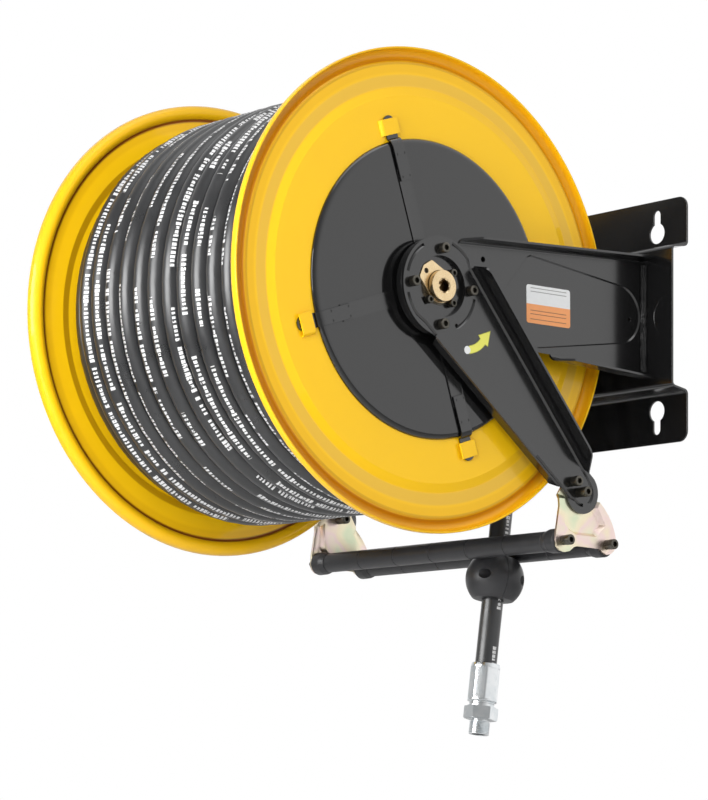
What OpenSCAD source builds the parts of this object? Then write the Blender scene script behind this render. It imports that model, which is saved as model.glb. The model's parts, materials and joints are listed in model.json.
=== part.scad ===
// Wall mounted fire hose reel: spring rewound drum on a fixed hollow shaft, two stamped
// arms on each side, guide rollers, and 3/4 inch hose with a stop ball and a threaded end.
// Millimetres. X runs along the drum, Y into the wall, Z up. Origin: middle of the wall face.

/* [Drum] */
// Outer diameter of the two discs
disc_d = 600; // [590:1:620]
// Distance between the middles of the two rim beads
drum_w = 424; // [400:2:460]
// Sheet thickness of discs, pans and drum core
sheet_t = 2; // [1.5:0.25:2.5]
// Diameter of the curled rim bead
bead_d = 13; // [10:1:16]
// Outer diameter of the pressed step in each disc
step_d = 504; // [500:2:520]
// Radial width of the pressed step
step_w = 13; // [9:1:16]
// Height of the pressed step
step_h = 3; // [2:0.5:4]
// Radial width of the flare that leads up to the bead
flare_w = 11; // [6:1:14]
// Outer diameter of the tube that the hose is wound on
core_d = 330; // [310:2:340]
// Diameter of the hole in the middle of each disc
disc_bore_d = 104; // [100:1:110]

/* [Pans and straps] */
// Outer diameter of the black pan on each disc
pan_d = 371; // [366:1:376]
// Height of the pan above the disc
pan_h = 6; // [5:0.5:7]
// Radial width of the pan's rounded edge
pan_edge = 8; // [6:1:10]
// Diameter of the hole in the middle of each pan
pan_bore_d = 80; // [70:1:90]
// Number of straps on each pan
strap_count = 4; // [3:1:5]
// Angle of the first strap
strap_turn = 19; // [15:1:25]
// Width of a strap
strap_w = 21; // [16:1:24]
// Thickness of a strap
strap_t = 1.5; // [1:0.25:1.75]
// Radius at which the straps start
strap_start_r = 50; // [46:1:54]
// Radius at which the straps end
strap_end_r = 150; // [145:1:160]
// Thickness of a hook plate
hook_t = 2; // [1.5:0.25:2]
// Radius at which a hook plate starts
hook_start_r = 135; // [125:1:140]
// Length of the tongue that holds a hook plate
tab_l = 20; // [16:1:24]
// Distance from the pan's edge to the tongue
tab_gap = 7.5; // [6:0.5:12]
// Side wall thickness of the tongue
tab_t = 2; // [1.5:0.25:2.5]
// How far the hook's tip shows past the tongue
hook_tip = 4; // [2:1:8]

/* [Hose] */
// Outside diameter of the hose
hose_d = 28; // [26:0.5:28.5]
// Diameter over the outer layer of turns
winding_d = 532; // [524:1:534]
// Smallest gap between neighbouring outer turns
turn_gap = 0.8; // [0.6:0.1:2]
// How much lower the first turn lies against the far disc
turn_drop = 28; // [20:1:30]
// Free play between outer turns and discs
turn_play = 1; // [0.5:0.25:2]

/* [Shaft and bearings] */
// Diameter of the fixed hollow shaft
shaft_d = 45; // [40:1:46]
// Bore of the shaft
shaft_bore_d = 25; // [24:0.5:28]
// Outer diameter of the ball bearings
bearing_d = 85; // [80:1:86]
// Width of a ball bearing
bearing_w = 16; // [14:1:18]
// Diameter of the bearing balls
ball_d = 8.4; // [8:0.1:9]
// Balls in each bearing
ball_count = 12; // [8:1:14]

/* [Arms] */
// Sheet thickness of the arms and the wall plate
arm_t = 3; // [2.5:0.25:3.5]
// Distance from a rim bead's middle to the inner face of the arms
arm_gap = 20; // [19.5:0.25:22]
// Diameter of the round head of every arm
head_d = 124; // [118:1:128]
// Diameter of the opening in the heads
head_bore_d = 76; // [73:0.5:77]
// Bolt circle of the hub screws
hub_pcd = 94; // [93:0.5:97]
// How far the middle of the guide arm's end lies past the disc's edge
arm_reach = 33; // [30:1:38]
// Slope of the guide arm below the horizontal
guide_angle = 44; // [42:1:46]
// Radius of the guide arm's rounded end
guide_end_r = 27.5; // [26:0.5:29]
// How far the guide arm's lower edge runs inside its two round ends
guide_low_inset = 6; // [3:0.5:8]
// Height of the guide arm's outward flange
guide_flange = 24; // [18:1:38]
// Depth of the guide arm's inward flange, outer face to edge
guide_return = 14; // [8:0.5:14]
// Height of the wall arm's flanges
wall_flange = 24; // [16:1:30]
// Height of the wall arm where it meets the wall plate
wall_arm_h = 160; // [150:1:168]
// Depth of the pressed panel in the wall arm
panel_depth = 1; // [0.5:0.25:1.5]

/* [Wall plate] */
// Distance from the wall to the drum's axis
reach = 381; // [372:1:400]
// How far the drum's axis lies below the plate's middle
hub_drop = 3; // [0:1:6]
// How far the wall plate runs past each wall arm's inner face
plate_over = 53.5; // [44:0.5:60]
// Height of the wall plate
plate_h = 320; // [310:1:340]
// Height of the raised web
web_h = 184; // [180:1:190]
// How far the web stands off the wall
web_stand = 30; // [24:1:34]
// Corner radius of the plate
plate_r = 12; // [6:1:16]
// Distance of a keyhole from the plate's end
key_in = 53.5; // [44:0.5:60]
// Distance between keyholes up the plate
key_dz = 234; // [228:1:238]
// Diameter of the keyhole's round part
key_d = 27; // [24:0.5:29]
// Width of the keyhole's slot
key_slot = 12.5; // [10:0.5:14]
// Length of the slot from the round part's middle
key_run = 24; // [20:1:26]

/* [Guide rollers] */
// Distance from the arm's end to the rollers' middle, towards the wall
roller_shift = 2.5; // [1:0.5:4]
// Distance of the rollers below the arm's end
roller_drop = 63.5; // [61:0.5:66]
// Distance between the two roller axles
roller_gap = 76; // [75:1:80]
// Diameter of the roller sleeves
roller_d = 26; // [24:0.5:26.5]
// Diameter of the end collars
collar_d = 31; // [28:0.5:33]
// Length of one sleeve
sleeve_l = 71; // [66:0.5:72]
// Sleeves on each roller
sleeve_count = 6; // [5:1:6]
// Diameter of a roller axle
axle_d = 10; // [8:0.5:11]
// How far the bracket's foot is set out from the arm
bracket_set = 6; // [4:0.5:8]
// Radius of the bracket's lobes
lobe_r = 14.5; // [13.5:0.5:16]

/* [Stop ball and hose end] */
// Diameter of the stop ball
stop_d = 76; // [68:1:76]
// Height of the stop ball between its flat ends
stop_h = 55; // [52:1:60]
// Turn of the ball's seam about the hose
stop_turn = 16; // [0:1:30]
// Diameter of the crimped ferrule
ferrule_d = 38; // [34:0.5:40]
// Length of the ferrule
ferrule_l = 52; // [40:1:60]
// Width across flats of the end fitting
hex_af = 38; // [34:0.5:41]
// Height of the end fitting's hexagon
hex_h = 17; // [12:1:22]
// Outside diameter of the hose end's pipe thread
thread_d = 26.4; // [26:0.1:27]
// Length of the pipe thread
thread_l = 19; // [14:1:22]
// Water bore of the fittings
water_d = 17; // [14:0.5:19]

/* [Inlet] */
// Diameter of the brass boss at the near end
plug_d = 39; // [36:0.5:40]
// How far the boss stands out of the hub plate
plug_h = 11; // [9:1:14]
// Diameter of the inlet body
inlet_d = 40; // [38:0.5:41]
// How far the inlet body stands out of the far hub plate
inlet_h = 34; // [28:1:40]
// Diameter of the inlet's threaded hole
inlet_bore_d = 24.2; // [24:0.1:24.6]
// Depth of the inlet's threaded hole
inlet_depth = 18; // [16:1:20]

/* [Latch] */
// Teeth on the ratchet ring
tooth_count = 12; // [8:4:16]
// Diameter over the ratchet's teeth
ratchet_d = 176; // [172:1:178]
// Depth of a tooth
tooth_h = 8; // [7:0.5:10]
// Thickness of ratchet ring and pawl
ratchet_t = 3; // [2.5:0.25:3.25]
// Distance from the drum's axis to the pawl's pin
pawl_r = 109; // [108:1:112]
// Diameter of the pawl's pin
pin_d = 8; // [6:0.5:9]

/* [Screws] */
// Hub and arm screws
screw_d = 8; // [7:0.5:8]
// Screws of the brass flanges
small_screw_d = 6; // [5:0.5:6]

/* [Hidden] */

// Clearances
slip = 0.05;        // shaft in hole, on the radius
seat = 0.1;         // between fixed pieces that touch
run_gap = 0.4;      // between pieces that move past each other
screw_gap = 0.3;    // screw in a clearance hole, on the radius

// Planes across the drum, measured from its middle
disc_x = drum_w / 2;
ring_x = disc_x - step_h;
pan_x = disc_x + pan_h;
strap_x = pan_x + strap_t;
hook_x = strap_x + hook_t;
arm_x = disc_x + arm_gap;
guide_x = arm_x + arm_t;
face_x = guide_x + arm_t;
inner_x = disc_x - sheet_t;
outer_zone_x = ring_x - sheet_t;

// Discs and pans
disc_r = disc_d / 2;
bead_r = bead_d / 2;
bead_ring_r = disc_r - bead_r;
step_r = step_d / 2;
flare_r = bead_ring_r - flare_w;
pan_r = pan_d / 2;
pan_flat_r = pan_r - pan_edge;
tab_r = pan_r + tab_gap;
tab_end_r = tab_r + tab_l;
hook_end_r = tab_end_r + hook_tip;
tab_w = strap_w + 2 * (tab_t + 2);
tab_low_x = disc_x + hook_t + 2 * run_gap;
tab_x = tab_low_x + sheet_t;

// Hose on the drum
hose_r = hose_d / 2;
turn_r = winding_d / 2 - hose_r;
turn_x = outer_zone_x - turn_play - hose_r;
turns = 1 + floor(2 * turn_x / (hose_d + turn_gap));
turn_pitch = 2 * turn_x / (turns - 1);
core_r = core_d / 2;
turn_steps = 24;
turn_sides = 6;
// The turns are straight from step to step, so they dip in between
pack_r = (turn_r - hose_r) * cos(180 / turn_steps) - seat;

// Shaft, bearings, hub plates
shaft_r = shaft_d / 2;
bearing_r = bearing_d / 2;
ball_ring_r = (shaft_r + bearing_r) / 2;
bearing_x = disc_x - 6;
housing_wall = 7.5;
housing_flange_r = 72;
hub_plate_x = pan_x + 4;
hub_plate_r = head_d / 2 - 2;
head_r = head_d / 2;
flange_pcd = 53;

// Arms
guide_l = disc_r + arm_reach;
guide_end = guide_l * [cos(guide_angle), -sin(guide_angle)];
web_y = reach - web_stand;
wall_top = hub_drop + wall_arm_h / 2;
wall_bottom = hub_drop - wall_arm_h / 2;
flange_start = 33;
low_flange_y = 3 * head_r;
flange_ramp = 20;

plate_w = 2 * (arm_x + plate_over);
key_dx = plate_w - 2 * key_in;

// Rollers
roller_y = guide_end[0] + roller_shift;
roller_z = roller_drop - guide_end[1];
front_y = roller_y - roller_gap / 2;
rear_y = roller_y + roller_gap / 2;
foot_x = arm_x + bracket_set;
foot_face_x = foot_x + arm_t;
bracket_step_z = 2 * lobe_r - roller_z;
roller_half = foot_x - run_gap;
sleeve_half = sleeve_l * sleeve_count / 2;

// Screws
head_ratio = 1.625;
washer_t = 2;

// Free hose: its route from the drum to the ferrule, seen from the drum's axis, in the plane
// X = lead_x. It lies on the outer turns, leaves them towards the wall and hangs between the
// rollers.
lead_x = 73;
lead_r = turn_r + hose_d + 2.5;
roller_mid = [roller_y, -roller_z];
lead_off = polar(lead_r, -7);
lead_in = roller_mid + [8.5, 17];
lead_route = concat(
    [for (a = [77:-12:5]) polar(lead_r, a)],
    [for (k = [0:0.25:0.75]) lead_off + k * (lead_in - lead_off)],
    [for (d = [[8.5, 17], [1.5, -36], [-3.5, -75], [-9, -117], [-16.5, -176]]) roller_mid + d]
);
lead_sides = 10;
lead_end = lead_route[len(lead_route) - 1];
lead_before = lead_route[len(lead_route) - 2];
end_lean = atan2(lead_before[0] - lead_end[0], lead_before[1] - lead_end[1]);
stop_at = lead_route[12];
stop_lean = atan2(lead_route[11][0] - lead_route[13][0], lead_route[11][1] - lead_route[13][1]);
stop_seam = 0.5;
stop_screw_at = 25;
stop_screw_l = 24;

// Latch
ratchet_x = strap_x + seat;
ratchet_r = ratchet_d / 2;
tooth_step = 360 / tooth_count;
tooth_face = -7;
pawl_angle = 16;
pawl_at = pawl_r * [cos(pawl_angle), sin(pawl_angle)];
pawl_tip_angle = -4;
pawl_tip_r = ratchet_r + 1;

// Colours
enamel_yellow = [0.98, 0.74, 0.05];
enamel_black = [0.12, 0.12, 0.12];
rubber = [0.2, 0.2, 0.21];
plastic = [0.14, 0.14, 0.14];
steel = [0.62, 0.63, 0.64];
dark_steel = [0.26, 0.25, 0.23];
brass = [0.85, 0.68, 0.38];
zinc = [0.8, 0.8, 0.78];
yellow_zinc = [0.85, 0.76, 0.5];

// ---------- helpers ----------

function unit(v) = v / norm(v);
function polar(r, a) = [r * cos(a), r * sin(a)];
// Points of an arc round c, from angle a to angle b
function arc(c, r, a, b, n = 8) = [for (i = [0:n]) c + polar(r, a + (b - a) * i / n)];
// Where the line that touches two circles on one side touches them, a hair inside them
sunk = 0.04;
function touch(c1, r1, c2, r2, side) =
    let (d = c2 - c1, a = atan2(d[1], d[0]) + side * acos((r1 - r2) / norm(d)))
    [c1 + polar(r1 - sunk, a), c2 + polar(max(r2 - sunk, 0), a)];
function along(line, s) = line[0] + s * unit(line[1] - line[0]);

// A ring of points round c, square to t, with its first point towards ref
function ring(c, t, ref, r, n) =
    let (b = unit(cross(t, ref)), a = cross(b, t))
    [for (i = [0:n - 1]) c + r * (cos(360 * i / n) * a + sin(360 * i / n) * b)];
function direction(p, i) = unit(p[min(i + 1, len(p) - 1)] - p[max(i - 1, 0)]);

// Round tube of triangles along the points, with one reference direction for each point
module tube(p, refs, r, sides) {
    rings = len(p);
    points = [for (i = [0:rings - 1]) each ring(p[i], direction(p, i), refs[i], r, sides)];
    walls = [for (i = [0:rings - 2], j = [0:sides - 1])
        let (a = i * sides + j, b = i * sides + (j + 1) % sides)
        each [[a, a + sides, b], [b, a + sides, b + sides]]];
    last = (rings - 1) * sides;
    caps = [for (j = [1:sides - 2]) each [[0, j, j + 1], [last, last + j + 1, last + j]]];
    polyhedron(points, concat(walls, caps));
}

module at_hub() {
    translate([0, -reach, -hub_drop])
        children();
}

// An outline in (Y, Z) made a plate from X = x over thickness t
module plate(x, t) {
    translate([x, 0, 0])
        rotate([90, 0, 90])
            linear_extrude(t)
                children();
}

// An outline in (radius, X) turned about the drum's axis
module turned() {
    rotate([90, 0, 90])
        rotate_extrude($fn = 96)
            children();
}

module rod(x, length, r, sides = 48) {
    translate([x, 0, 0])
        rotate([90, 0, 90])
            cylinder(h = length, r = r, $fn = sides);
}

module at(p) {
    translate([0, p[0], p[1]])
        children();
}

// Moves its children from the near side to the side named
module side(name) {
    if (name == "near") {
        children();
    } else {
        mirror([1, 0, 0])
            children();
    }
}

// Socket head screw along X: it seats at X = 0, with its head towards +X
module cap_screw(d, shank, spacer = 0) {
    head_h = d;
    head_d = head_ratio * d;
    difference() {
        rod(spacer, head_h, head_d / 2);
        rod(spacer + 0.45 * head_h, head_h, 0.45 * d, 6);
    }
    if (spacer > 0) {
        rod(0, spacer, head_d / 2 - 0.3);
    }
    rod(-shank, shank + spacer + 0.3 * head_h, d / 2);
}

// Strip of sheet that stands on an edge from a to b, between X = x0 and X = x1
module flange(a, b, x0, x1, start = 0, finish = 0) {
    length = norm(b - a);
    at(a)
        rotate([atan2(b[1] - a[1], b[0] - a[0]), 0, 0])
            translate([0, 0, -arm_t])
                linear_extrude(arm_t)
                    polygon([[x0, 0], [x1, start], [x1, length - finish], [x0, length]]);
}

module four_on_circle(pcd, turn) {
    for (i = [0:3])
        at(polar(pcd / 2, turn + 90 * i))
            children();
}

// ---------- wall plate and arms ----------

// Hat section in (Y, Z), upper half
hat_half = [
    [0, plate_h / 2], [-arm_t, plate_h / 2], [-arm_t, web_h / 2 + 2 * arm_t],
    [-2 * arm_t, web_h / 2 + arm_t], [-web_stand + arm_t, web_h / 2 + arm_t / 2],
    [-web_stand, web_h / 2 - arm_t], [-web_stand, 0],
    [arm_t - web_stand, 0], [arm_t - web_stand, web_h / 2 - 2 * arm_t],
    [2 * arm_t - web_stand, web_h / 2 - 1.5 * arm_t], [-arm_t, web_h / 2 - arm_t],
    [0, web_h / 2 + arm_t]
];

module corner_cut(sx, sz) {
    translate([sx * (plate_w / 2 - plate_r), 0, sz * (plate_h / 2 - plate_r)])
        rotate([90, 0, 0])
            translate([0, 0, -1])
                difference() {
                    translate([sx > 0 ? 0 : -plate_r - 1, sz > 0 ? 0 : -plate_r - 1, 0])
                        cube([plate_r + 1, plate_r + 1, arm_t + 2]);
                    cylinder(h = arm_t + 2, r = plate_r, $fn = 48);
                }
}

module keyhole(sx, sz) {
    translate([sx * key_dx / 2, 1, sz * key_dz / 2])
        rotate([90, 0, 0]) {
            cylinder(h = arm_t + 2, d = key_d, $fn = 64);
            translate([0, sz * key_run, 0])
                cylinder(h = arm_t + 2, d = key_slot, $fn = 48);
            translate([-key_slot / 2, sz > 0 ? 0 : -key_run, 0])
                cube([key_slot, key_run, arm_t + 2]);
        }
}

module wall_plate() {
    color(enamel_black)
        difference() {
            union() {
                plate(-plate_w / 2, plate_w)
                    polygon(hat_half);
                mirror([0, 0, 1])
                    plate(-plate_w / 2, plate_w)
                        polygon(hat_half);
            }
            for (sx = [-1, 1], sz = [-1, 1]) {
                corner_cut(sx, sz);
                keyhole(sx, sz);
            }
        }
}

wall_top_line = touch([0, 0], head_r, [web_y, wall_top], 0, 1);
wall_low_line = touch([0, 0], head_r, [web_y, wall_bottom], 0, -1);
low_flange_s = low_flange_y - wall_low_line[0][0];
panel_r = 0.6 * head_r;
panel_end = [web_y - panel_r - 8, 4];

module head_holes(x, t) {
    rod(x, t, head_bore_d / 2, 96);
    four_on_circle(hub_pcd, 0)
        rod(x, t, screw_d / 2 + screw_gap);
}

module wall_arm() {
    difference() {
        union() {
            rod(arm_x, arm_t, head_r, 96);
            plate(arm_x, arm_t)
                polygon([wall_top_line[0], wall_top_line[1], wall_low_line[1], wall_low_line[0]]);
        }
        head_holes(arm_x - 1, arm_t + 2);
        plate(guide_x - panel_depth, 2)
            polygon([head_r * [1.83, 0.18], head_r * [2.42, 1], panel_end + [0, panel_r],
                panel_end - [0, panel_r], head_r * [2.66, -0.92], head_r * [1.83, -0.32]]);
        at(panel_end)
            rod(guide_x - panel_depth, 2, panel_r);
        at(panel_end + panel_r * [0.57, -0.11])
            rod(arm_x - 1, arm_t + 2, 2.5);
        at(head_r * [1.13, 0.69])
            rod(arm_x - 1, arm_t + 2, 3.5);
    }
    flange(along(wall_top_line, flange_start), wall_top_line[1] - [run_gap, 0],
        arm_x, guide_x + wall_flange, flange_ramp);
    flange(wall_low_line[1] - [run_gap, 0], along(wall_low_line, low_flange_s),
        arm_x, guide_x + wall_flange, 0, flange_ramp);
}

module wall_arm_near() {
    color(enamel_black)
        at_hub()
            wall_arm();
}

module wall_arm_far() {
    color(enamel_black)
        at_hub()
            side("far")
                difference() {
                    wall_arm();
                    at(pawl_at)
                        rod(arm_x - 1, arm_t + 2, pin_d / 2 + slip);
                }
}

module weld_seams() {
    bead = 6;
    inset = 10;
    color(enamel_black)
        at_hub()
            for (s = ["near", "far"])
                side(s)
                    translate([guide_x, web_y, wall_bottom + inset])
                        linear_extrude(wall_arm_h - 2 * inset)
                            polygon([[0, 0], [0, -bead], [bead * 0.6, -bead * 0.6], [bead, 0]]);
}

guide_outer_line = touch([0, 0], head_r, guide_end, guide_end_r, 1);
guide_inner_line = touch([0, 0], head_r - guide_low_inset,
    guide_end, guide_end_r - guide_low_inset, -1);
guide_bolt_a = guide_end + guide_end_r * [-0.58, 0.44];
guide_bolt_b = guide_end + guide_end_r * [-0.25, -0.04];

module arm_end_holes(x, t) {
    for (b = [guide_bolt_a, guide_bolt_b])
        at(b)
            rod(x, t, screw_d / 2 + screw_gap);
}

module guide_arm() {
    outer_len = norm(guide_outer_line[1] - guide_outer_line[0]);
    inner_len = norm(guide_inner_line[1] - guide_inner_line[0]);
    // the inward flange starts where its inner face clears the wall arm's head
    inner_face_r = head_r - guide_low_inset - arm_t - sunk;
    inner_start = sqrt(pow(head_r + 2 * run_gap, 2) - pow(inner_face_r, 2));
    difference() {
        union() {
            rod(guide_x, arm_t, head_r, 96);
            at(guide_end)
                rod(guide_x, arm_t, guide_end_r, 64);
            plate(guide_x, arm_t)
                polygon([guide_outer_line[0], guide_outer_line[1],
                    guide_inner_line[1], guide_inner_line[0]]);
        }
        head_holes(guide_x - 1, arm_t + 2);
        arm_end_holes(guide_x - 1, arm_t + 2);
        at(polar(hub_pcd / 2 + 5, -62))
            rod(guide_x - 1, arm_t + 2, 2.5);
    }
    flange(along(guide_outer_line, 10), along(guide_outer_line, outer_len - 12),
        guide_x, face_x + guide_flange, 7, guide_flange);
    flange(along(guide_inner_line, inner_len - guide_end_r - 5),
        along(guide_inner_line, inner_start), face_x, face_x - guide_return, 8, 8);
}

module guide_arm_near() {
    color(enamel_black)
        at_hub()
            guide_arm();
}

module guide_arm_far() {
    color(enamel_black)
        at_hub()
            side("far")
                guide_arm();
}

// ---------- hub ----------

module hub_plate() {
    difference() {
        rod(hub_plate_x, arm_x - hub_plate_x, hub_plate_r, 96);
        rod(hub_plate_x - 1, arm_x, shaft_r + slip, 64);
        four_on_circle(hub_pcd, 0)
            rod(hub_plate_x - 1, arm_x, screw_d / 2 + slip);
        four_on_circle(flange_pcd, 45)
            rod(hub_plate_x - 1, arm_x, small_screw_d / 2 + slip);
    }
}

module hub_plate_near() {
    color(enamel_black)
        at_hub()
            hub_plate();
}

module hub_plate_far() {
    color(enamel_black)
        at_hub()
            side("far")
                hub_plate();
}

module hub_screws() {
    four_on_circle(hub_pcd, 0)
        translate([face_x, 0, 0])
            cap_screw(screw_d, face_x - hub_plate_x - 1, washer_t);
}

module hub_screws_near() {
    color(dark_steel)
        at_hub()
            hub_screws();
}

module hub_screws_far() {
    color(dark_steel)
        at_hub()
            side("far")
                hub_screws();
}

module flange_screws(count) {
    for (i = [0:count - 1])
        at(polar(flange_pcd / 2, -135 + 90 * i))
            translate([arm_x, 0, 0])
                cap_screw(small_screw_d, arm_x - hub_plate_x - 1, washer_t);
}

module flange_screws_near() {
    color(dark_steel)
        at_hub()
            flange_screws(3);
}

module flange_screws_far() {
    color(dark_steel)
        at_hub()
            side("far")
                flange_screws(4);
}

port_x = -60;

module fixed_shaft() {
    color(steel)
        at_hub()
            difference() {
                rod(-arm_x, 2 * arm_x, shaft_r, 64);
                rod(-arm_x - 1, 2 * arm_x + 2, shaft_bore_d / 2, 64);
                translate([port_x, 0, -shaft_r - 1])
                    cylinder(h = shaft_d + 2, d = 12, $fn = 32);
            }
}

spigot_l = 16;
boss_flange_t = 3;

module end_plug() {
    lug = polar(flange_pcd / 2, 135);
    color(brass)
        at_hub()
            difference() {
                union() {
                    rod(arm_x - spigot_l, spigot_l, shaft_bore_d / 2 - slip);
                    rod(arm_x, boss_flange_t, plug_d / 2 + 1, 64);
                    rod(arm_x, plug_h, plug_d / 2, 64);
                    at(lug)
                        rod(arm_x, boss_flange_t, 8.5);
                    plate(arm_x, boss_flange_t)
                        polygon([polar(plug_d / 2, 75), lug + polar(8.5, 45),
                            lug + polar(8.5, 225), polar(plug_d / 2, 195)]);
                }
                at(lug)
                    rod(arm_x - 1, boss_flange_t + 2, small_screw_d / 2 + screw_gap);
                rod(arm_x + plug_h - 8, 10, 14 / sqrt(3), 6);
            }
}

module inlet_port() {
    color(brass)
        at_hub()
            side("far")
                difference() {
                    union() {
                        rod(arm_x - spigot_l, spigot_l, shaft_bore_d / 2 - slip);
                        rod(arm_x, inlet_h, inlet_d / 2, 64);
                    }
                    rod(arm_x - spigot_l - 1, inlet_h + spigot_l, water_d / 2);
                    rod(arm_x + inlet_h - inlet_depth, inlet_depth + 1, inlet_bore_d / 2, 64);
                }
}

groove_r = ball_d / 2 + run_gap;

module bearing_ring(r0, r1) {
    turned()
        difference() {
            translate([r0, bearing_x - bearing_w])
                square([r1 - r0, bearing_w]);
            translate([ball_ring_r, bearing_x - bearing_w / 2])
                circle(r = groove_r, $fn = 48);
        }
}

module bearing_inner_rings() {
    color(steel)
        at_hub()
            for (s = ["near", "far"])
                side(s)
                    bearing_ring(shaft_r + slip, ball_ring_r - 0.8 * ball_d / 2);
}

module bearing_outer_rings() {
    color(steel)
        at_hub()
            for (s = ["near", "far"])
                side(s)
                    bearing_ring(ball_ring_r + 0.8 * ball_d / 2, bearing_r - slip);
}

module bearing_balls() {
    color(steel)
        at_hub()
            for (s = ["near", "far"], i = [0:ball_count - 1])
                side(s)
                    at(polar(ball_ring_r, 360 * i / ball_count))
                        translate([bearing_x - bearing_w / 2, 0, 0])
                            sphere(d = ball_d, $fn = 24);
}

// Flanged housings that carry the drum on its bearings
module bearing_housings() {
    outer = bearing_r + housing_wall;
    back = bearing_x - bearing_w;
    lip = 4;
    color(dark_steel)
        at_hub()
            for (s = ["near", "far"])
                side(s)
                    turned()
                        polygon([[bearing_r - lip, back - lip], [outer, back - lip],
                            [outer, inner_x - lip - 1], [housing_flange_r, inner_x - lip - 1],
                            [housing_flange_r, inner_x - seat],
                            [disc_bore_d / 2 - seat, inner_x - seat],
                            [disc_bore_d / 2 - seat, disc_x], [bearing_r, disc_x],
                            [bearing_r, back], [bearing_r - lip, back]]);
}

// ---------- drum ----------

module disc_profile() {
    polygon([[disc_bore_d / 2, inner_x], [disc_bore_d / 2, disc_x],
        [step_r - step_w, disc_x], [step_r, ring_x], [flare_r, ring_x],
        [bead_ring_r - bead_r * 0.3, disc_x + bead_r * 0.5], [bead_ring_r, disc_x],
        [bead_ring_r - bead_r * 0.3, outer_zone_x + 2], [flare_r, outer_zone_x],
        [step_r, outer_zone_x], [step_r - step_w, inner_x]]);
    translate([bead_ring_r, disc_x])
        circle(r = bead_r, $fn = 48);
}

case_r = 108;       // rewind spring's case
rod_r = 5;
rod_room = 7;       // between the case and the tie rods
rod_ring_r = case_r + rod_room + rod_r;

// Tongue raised out of the disc along one side, open towards the other
module tongue() {
    translate([0, tab_r, 0]) {
        translate([tab_low_x, 0, -tab_w / 2 + tab_t])
            cube([sheet_t, tab_l, tab_w - tab_t]);
        translate([disc_x - 1, 0, tab_w / 2 - tab_t])
            cube([tab_x - disc_x + 1, tab_l, tab_t]);
    }
}

module disc() {
    difference() {
        turned()
            disc_profile();
        four_on_circle(2 * rod_ring_r, 45)
            rod(inner_x - 1, sheet_t + 2, rod_r + screw_gap);
    }
    for (i = [0:strap_count - 1])
        rotate([strap_turn + 360 * i / strap_count, 0, 0])
            tongue();
}

module disc_near() {
    color(enamel_yellow)
        at_hub()
            disc();
}

module disc_far() {
    color(enamel_yellow)
        at_hub()
            side("far")
                disc();
}

// Pressed pan: flat face, rounded edge, standing on the disc
module pan() {
    inner = pan_bore_d / 2;
    drop = pan_h - sheet_t;
    edge = pan_edge - sheet_t;
    outer_arc = [for (i = [0:8]) [pan_flat_r + pan_edge * sin(90 * i / 8),
        disc_x + pan_h * cos(90 * i / 8)]];
    inner_arc = [for (i = [8:-1:0]) [pan_flat_r + edge * sin(90 * i / 8),
        disc_x + drop * cos(90 * i / 8)]];
    turned()
        polygon(concat([[inner, pan_x - sheet_t], [inner, pan_x]], outer_arc, inner_arc));
}

module pan_near() {
    color(enamel_black)
        at_hub()
            pan();
}

module pan_far() {
    color(enamel_black)
        at_hub()
            side("far")
                pan();
}

module straps() {
    for (i = [0:strap_count - 1])
        rotate([strap_turn + 360 * i / strap_count, 0, 0])
            translate([pan_x, strap_start_r, -strap_w / 2])
                cube([strap_t, strap_end_r - strap_start_r, strap_w]);
}

module straps_near() {
    color(enamel_black)
        at_hub()
            straps();
}

module straps_far() {
    color(enamel_black)
        at_hub()
            side("far")
                straps();
}

// Plate that runs over the pan's edge and under the disc's tongue
module hook_plate() {
    low = disc_x + run_gap;
    steps = 8;
    under = [for (i = [0:steps]) let (a = 90 * i / steps)
        [low + (strap_x - low) * cos(a), pan_flat_r + (pan_edge + 1.5) * sin(a)]];
    over = [for (i = [0:steps]) let (a = 90 * i / steps)
        [low + hook_t + (hook_x - low - hook_t) * cos(a),
            pan_flat_r + (pan_edge + 3) * sin(a)]];
    intersection() {
        translate([0, 0, -strap_w / 2])
            linear_extrude(strap_w)
                polygon(concat([[strap_x, hook_start_r], [hook_x, hook_start_r]], over,
                    [[low + hook_t, hook_end_r], [low, hook_end_r]],
                    [for (i = [steps:-1:0]) under[i]]));
        union() {
            at([hook_end_r - strap_w / 2, 0])
                rod(disc_x, 20, strap_w / 2);
            translate([disc_x, 0, -strap_w / 2])
                cube([20, hook_end_r - strap_w / 2, strap_w]);
        }
    }
}

module hook_plates() {
    for (i = [0:strap_count - 1])
        rotate([strap_turn + 360 * i / strap_count, 0, 0])
            hook_plate();
}

module hook_plates_near() {
    color(enamel_black)
        at_hub()
            hook_plates();
}

module hook_plates_far() {
    color(enamel_black)
        at_hub()
            side("far")
                hook_plates();
}

module drum_core() {
    half = inner_x - seat;
    color(enamel_yellow)
        at_hub()
            difference() {
                rod(-half, 2 * half, core_r, 96);
                rod(-half - 1, 2 * half + 2, core_r - sheet_t, 96);
                translate([port_x, 0, core_r - 10])
                    cylinder(h = 20, r = feed_r + screw_gap, $fn = 48);
            }
}

module tie_rods() {
    nut_h = pan_h - sheet_t - run_gap;
    color(steel)
        at_hub()
            four_on_circle(2 * rod_ring_r, 45) {
                rod(-disc_x, 2 * disc_x, rod_r);
                rod(disc_x, nut_h, 1.7 * rod_r, 6);
                rod(-disc_x - nut_h, nut_h, 1.7 * rod_r, 6);
            }
}

// ---------- rewind spring ----------

case_back = 132;
spring_w = 44;
spring_x = case_back + 5;
spring_t = 1.5;
spring_turns = 7;
arbor_r = 31;
spring_inner_r = arbor_r + spring_t / 2 + run_gap;
spring_outer_r = case_r - sheet_t - spring_t / 2 - run_gap;
function spiral(k, off) =
    let (r = spring_inner_r + (spring_outer_r - spring_inner_r) * k)
    polar(r + off, 360 * spring_turns * k);

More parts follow.
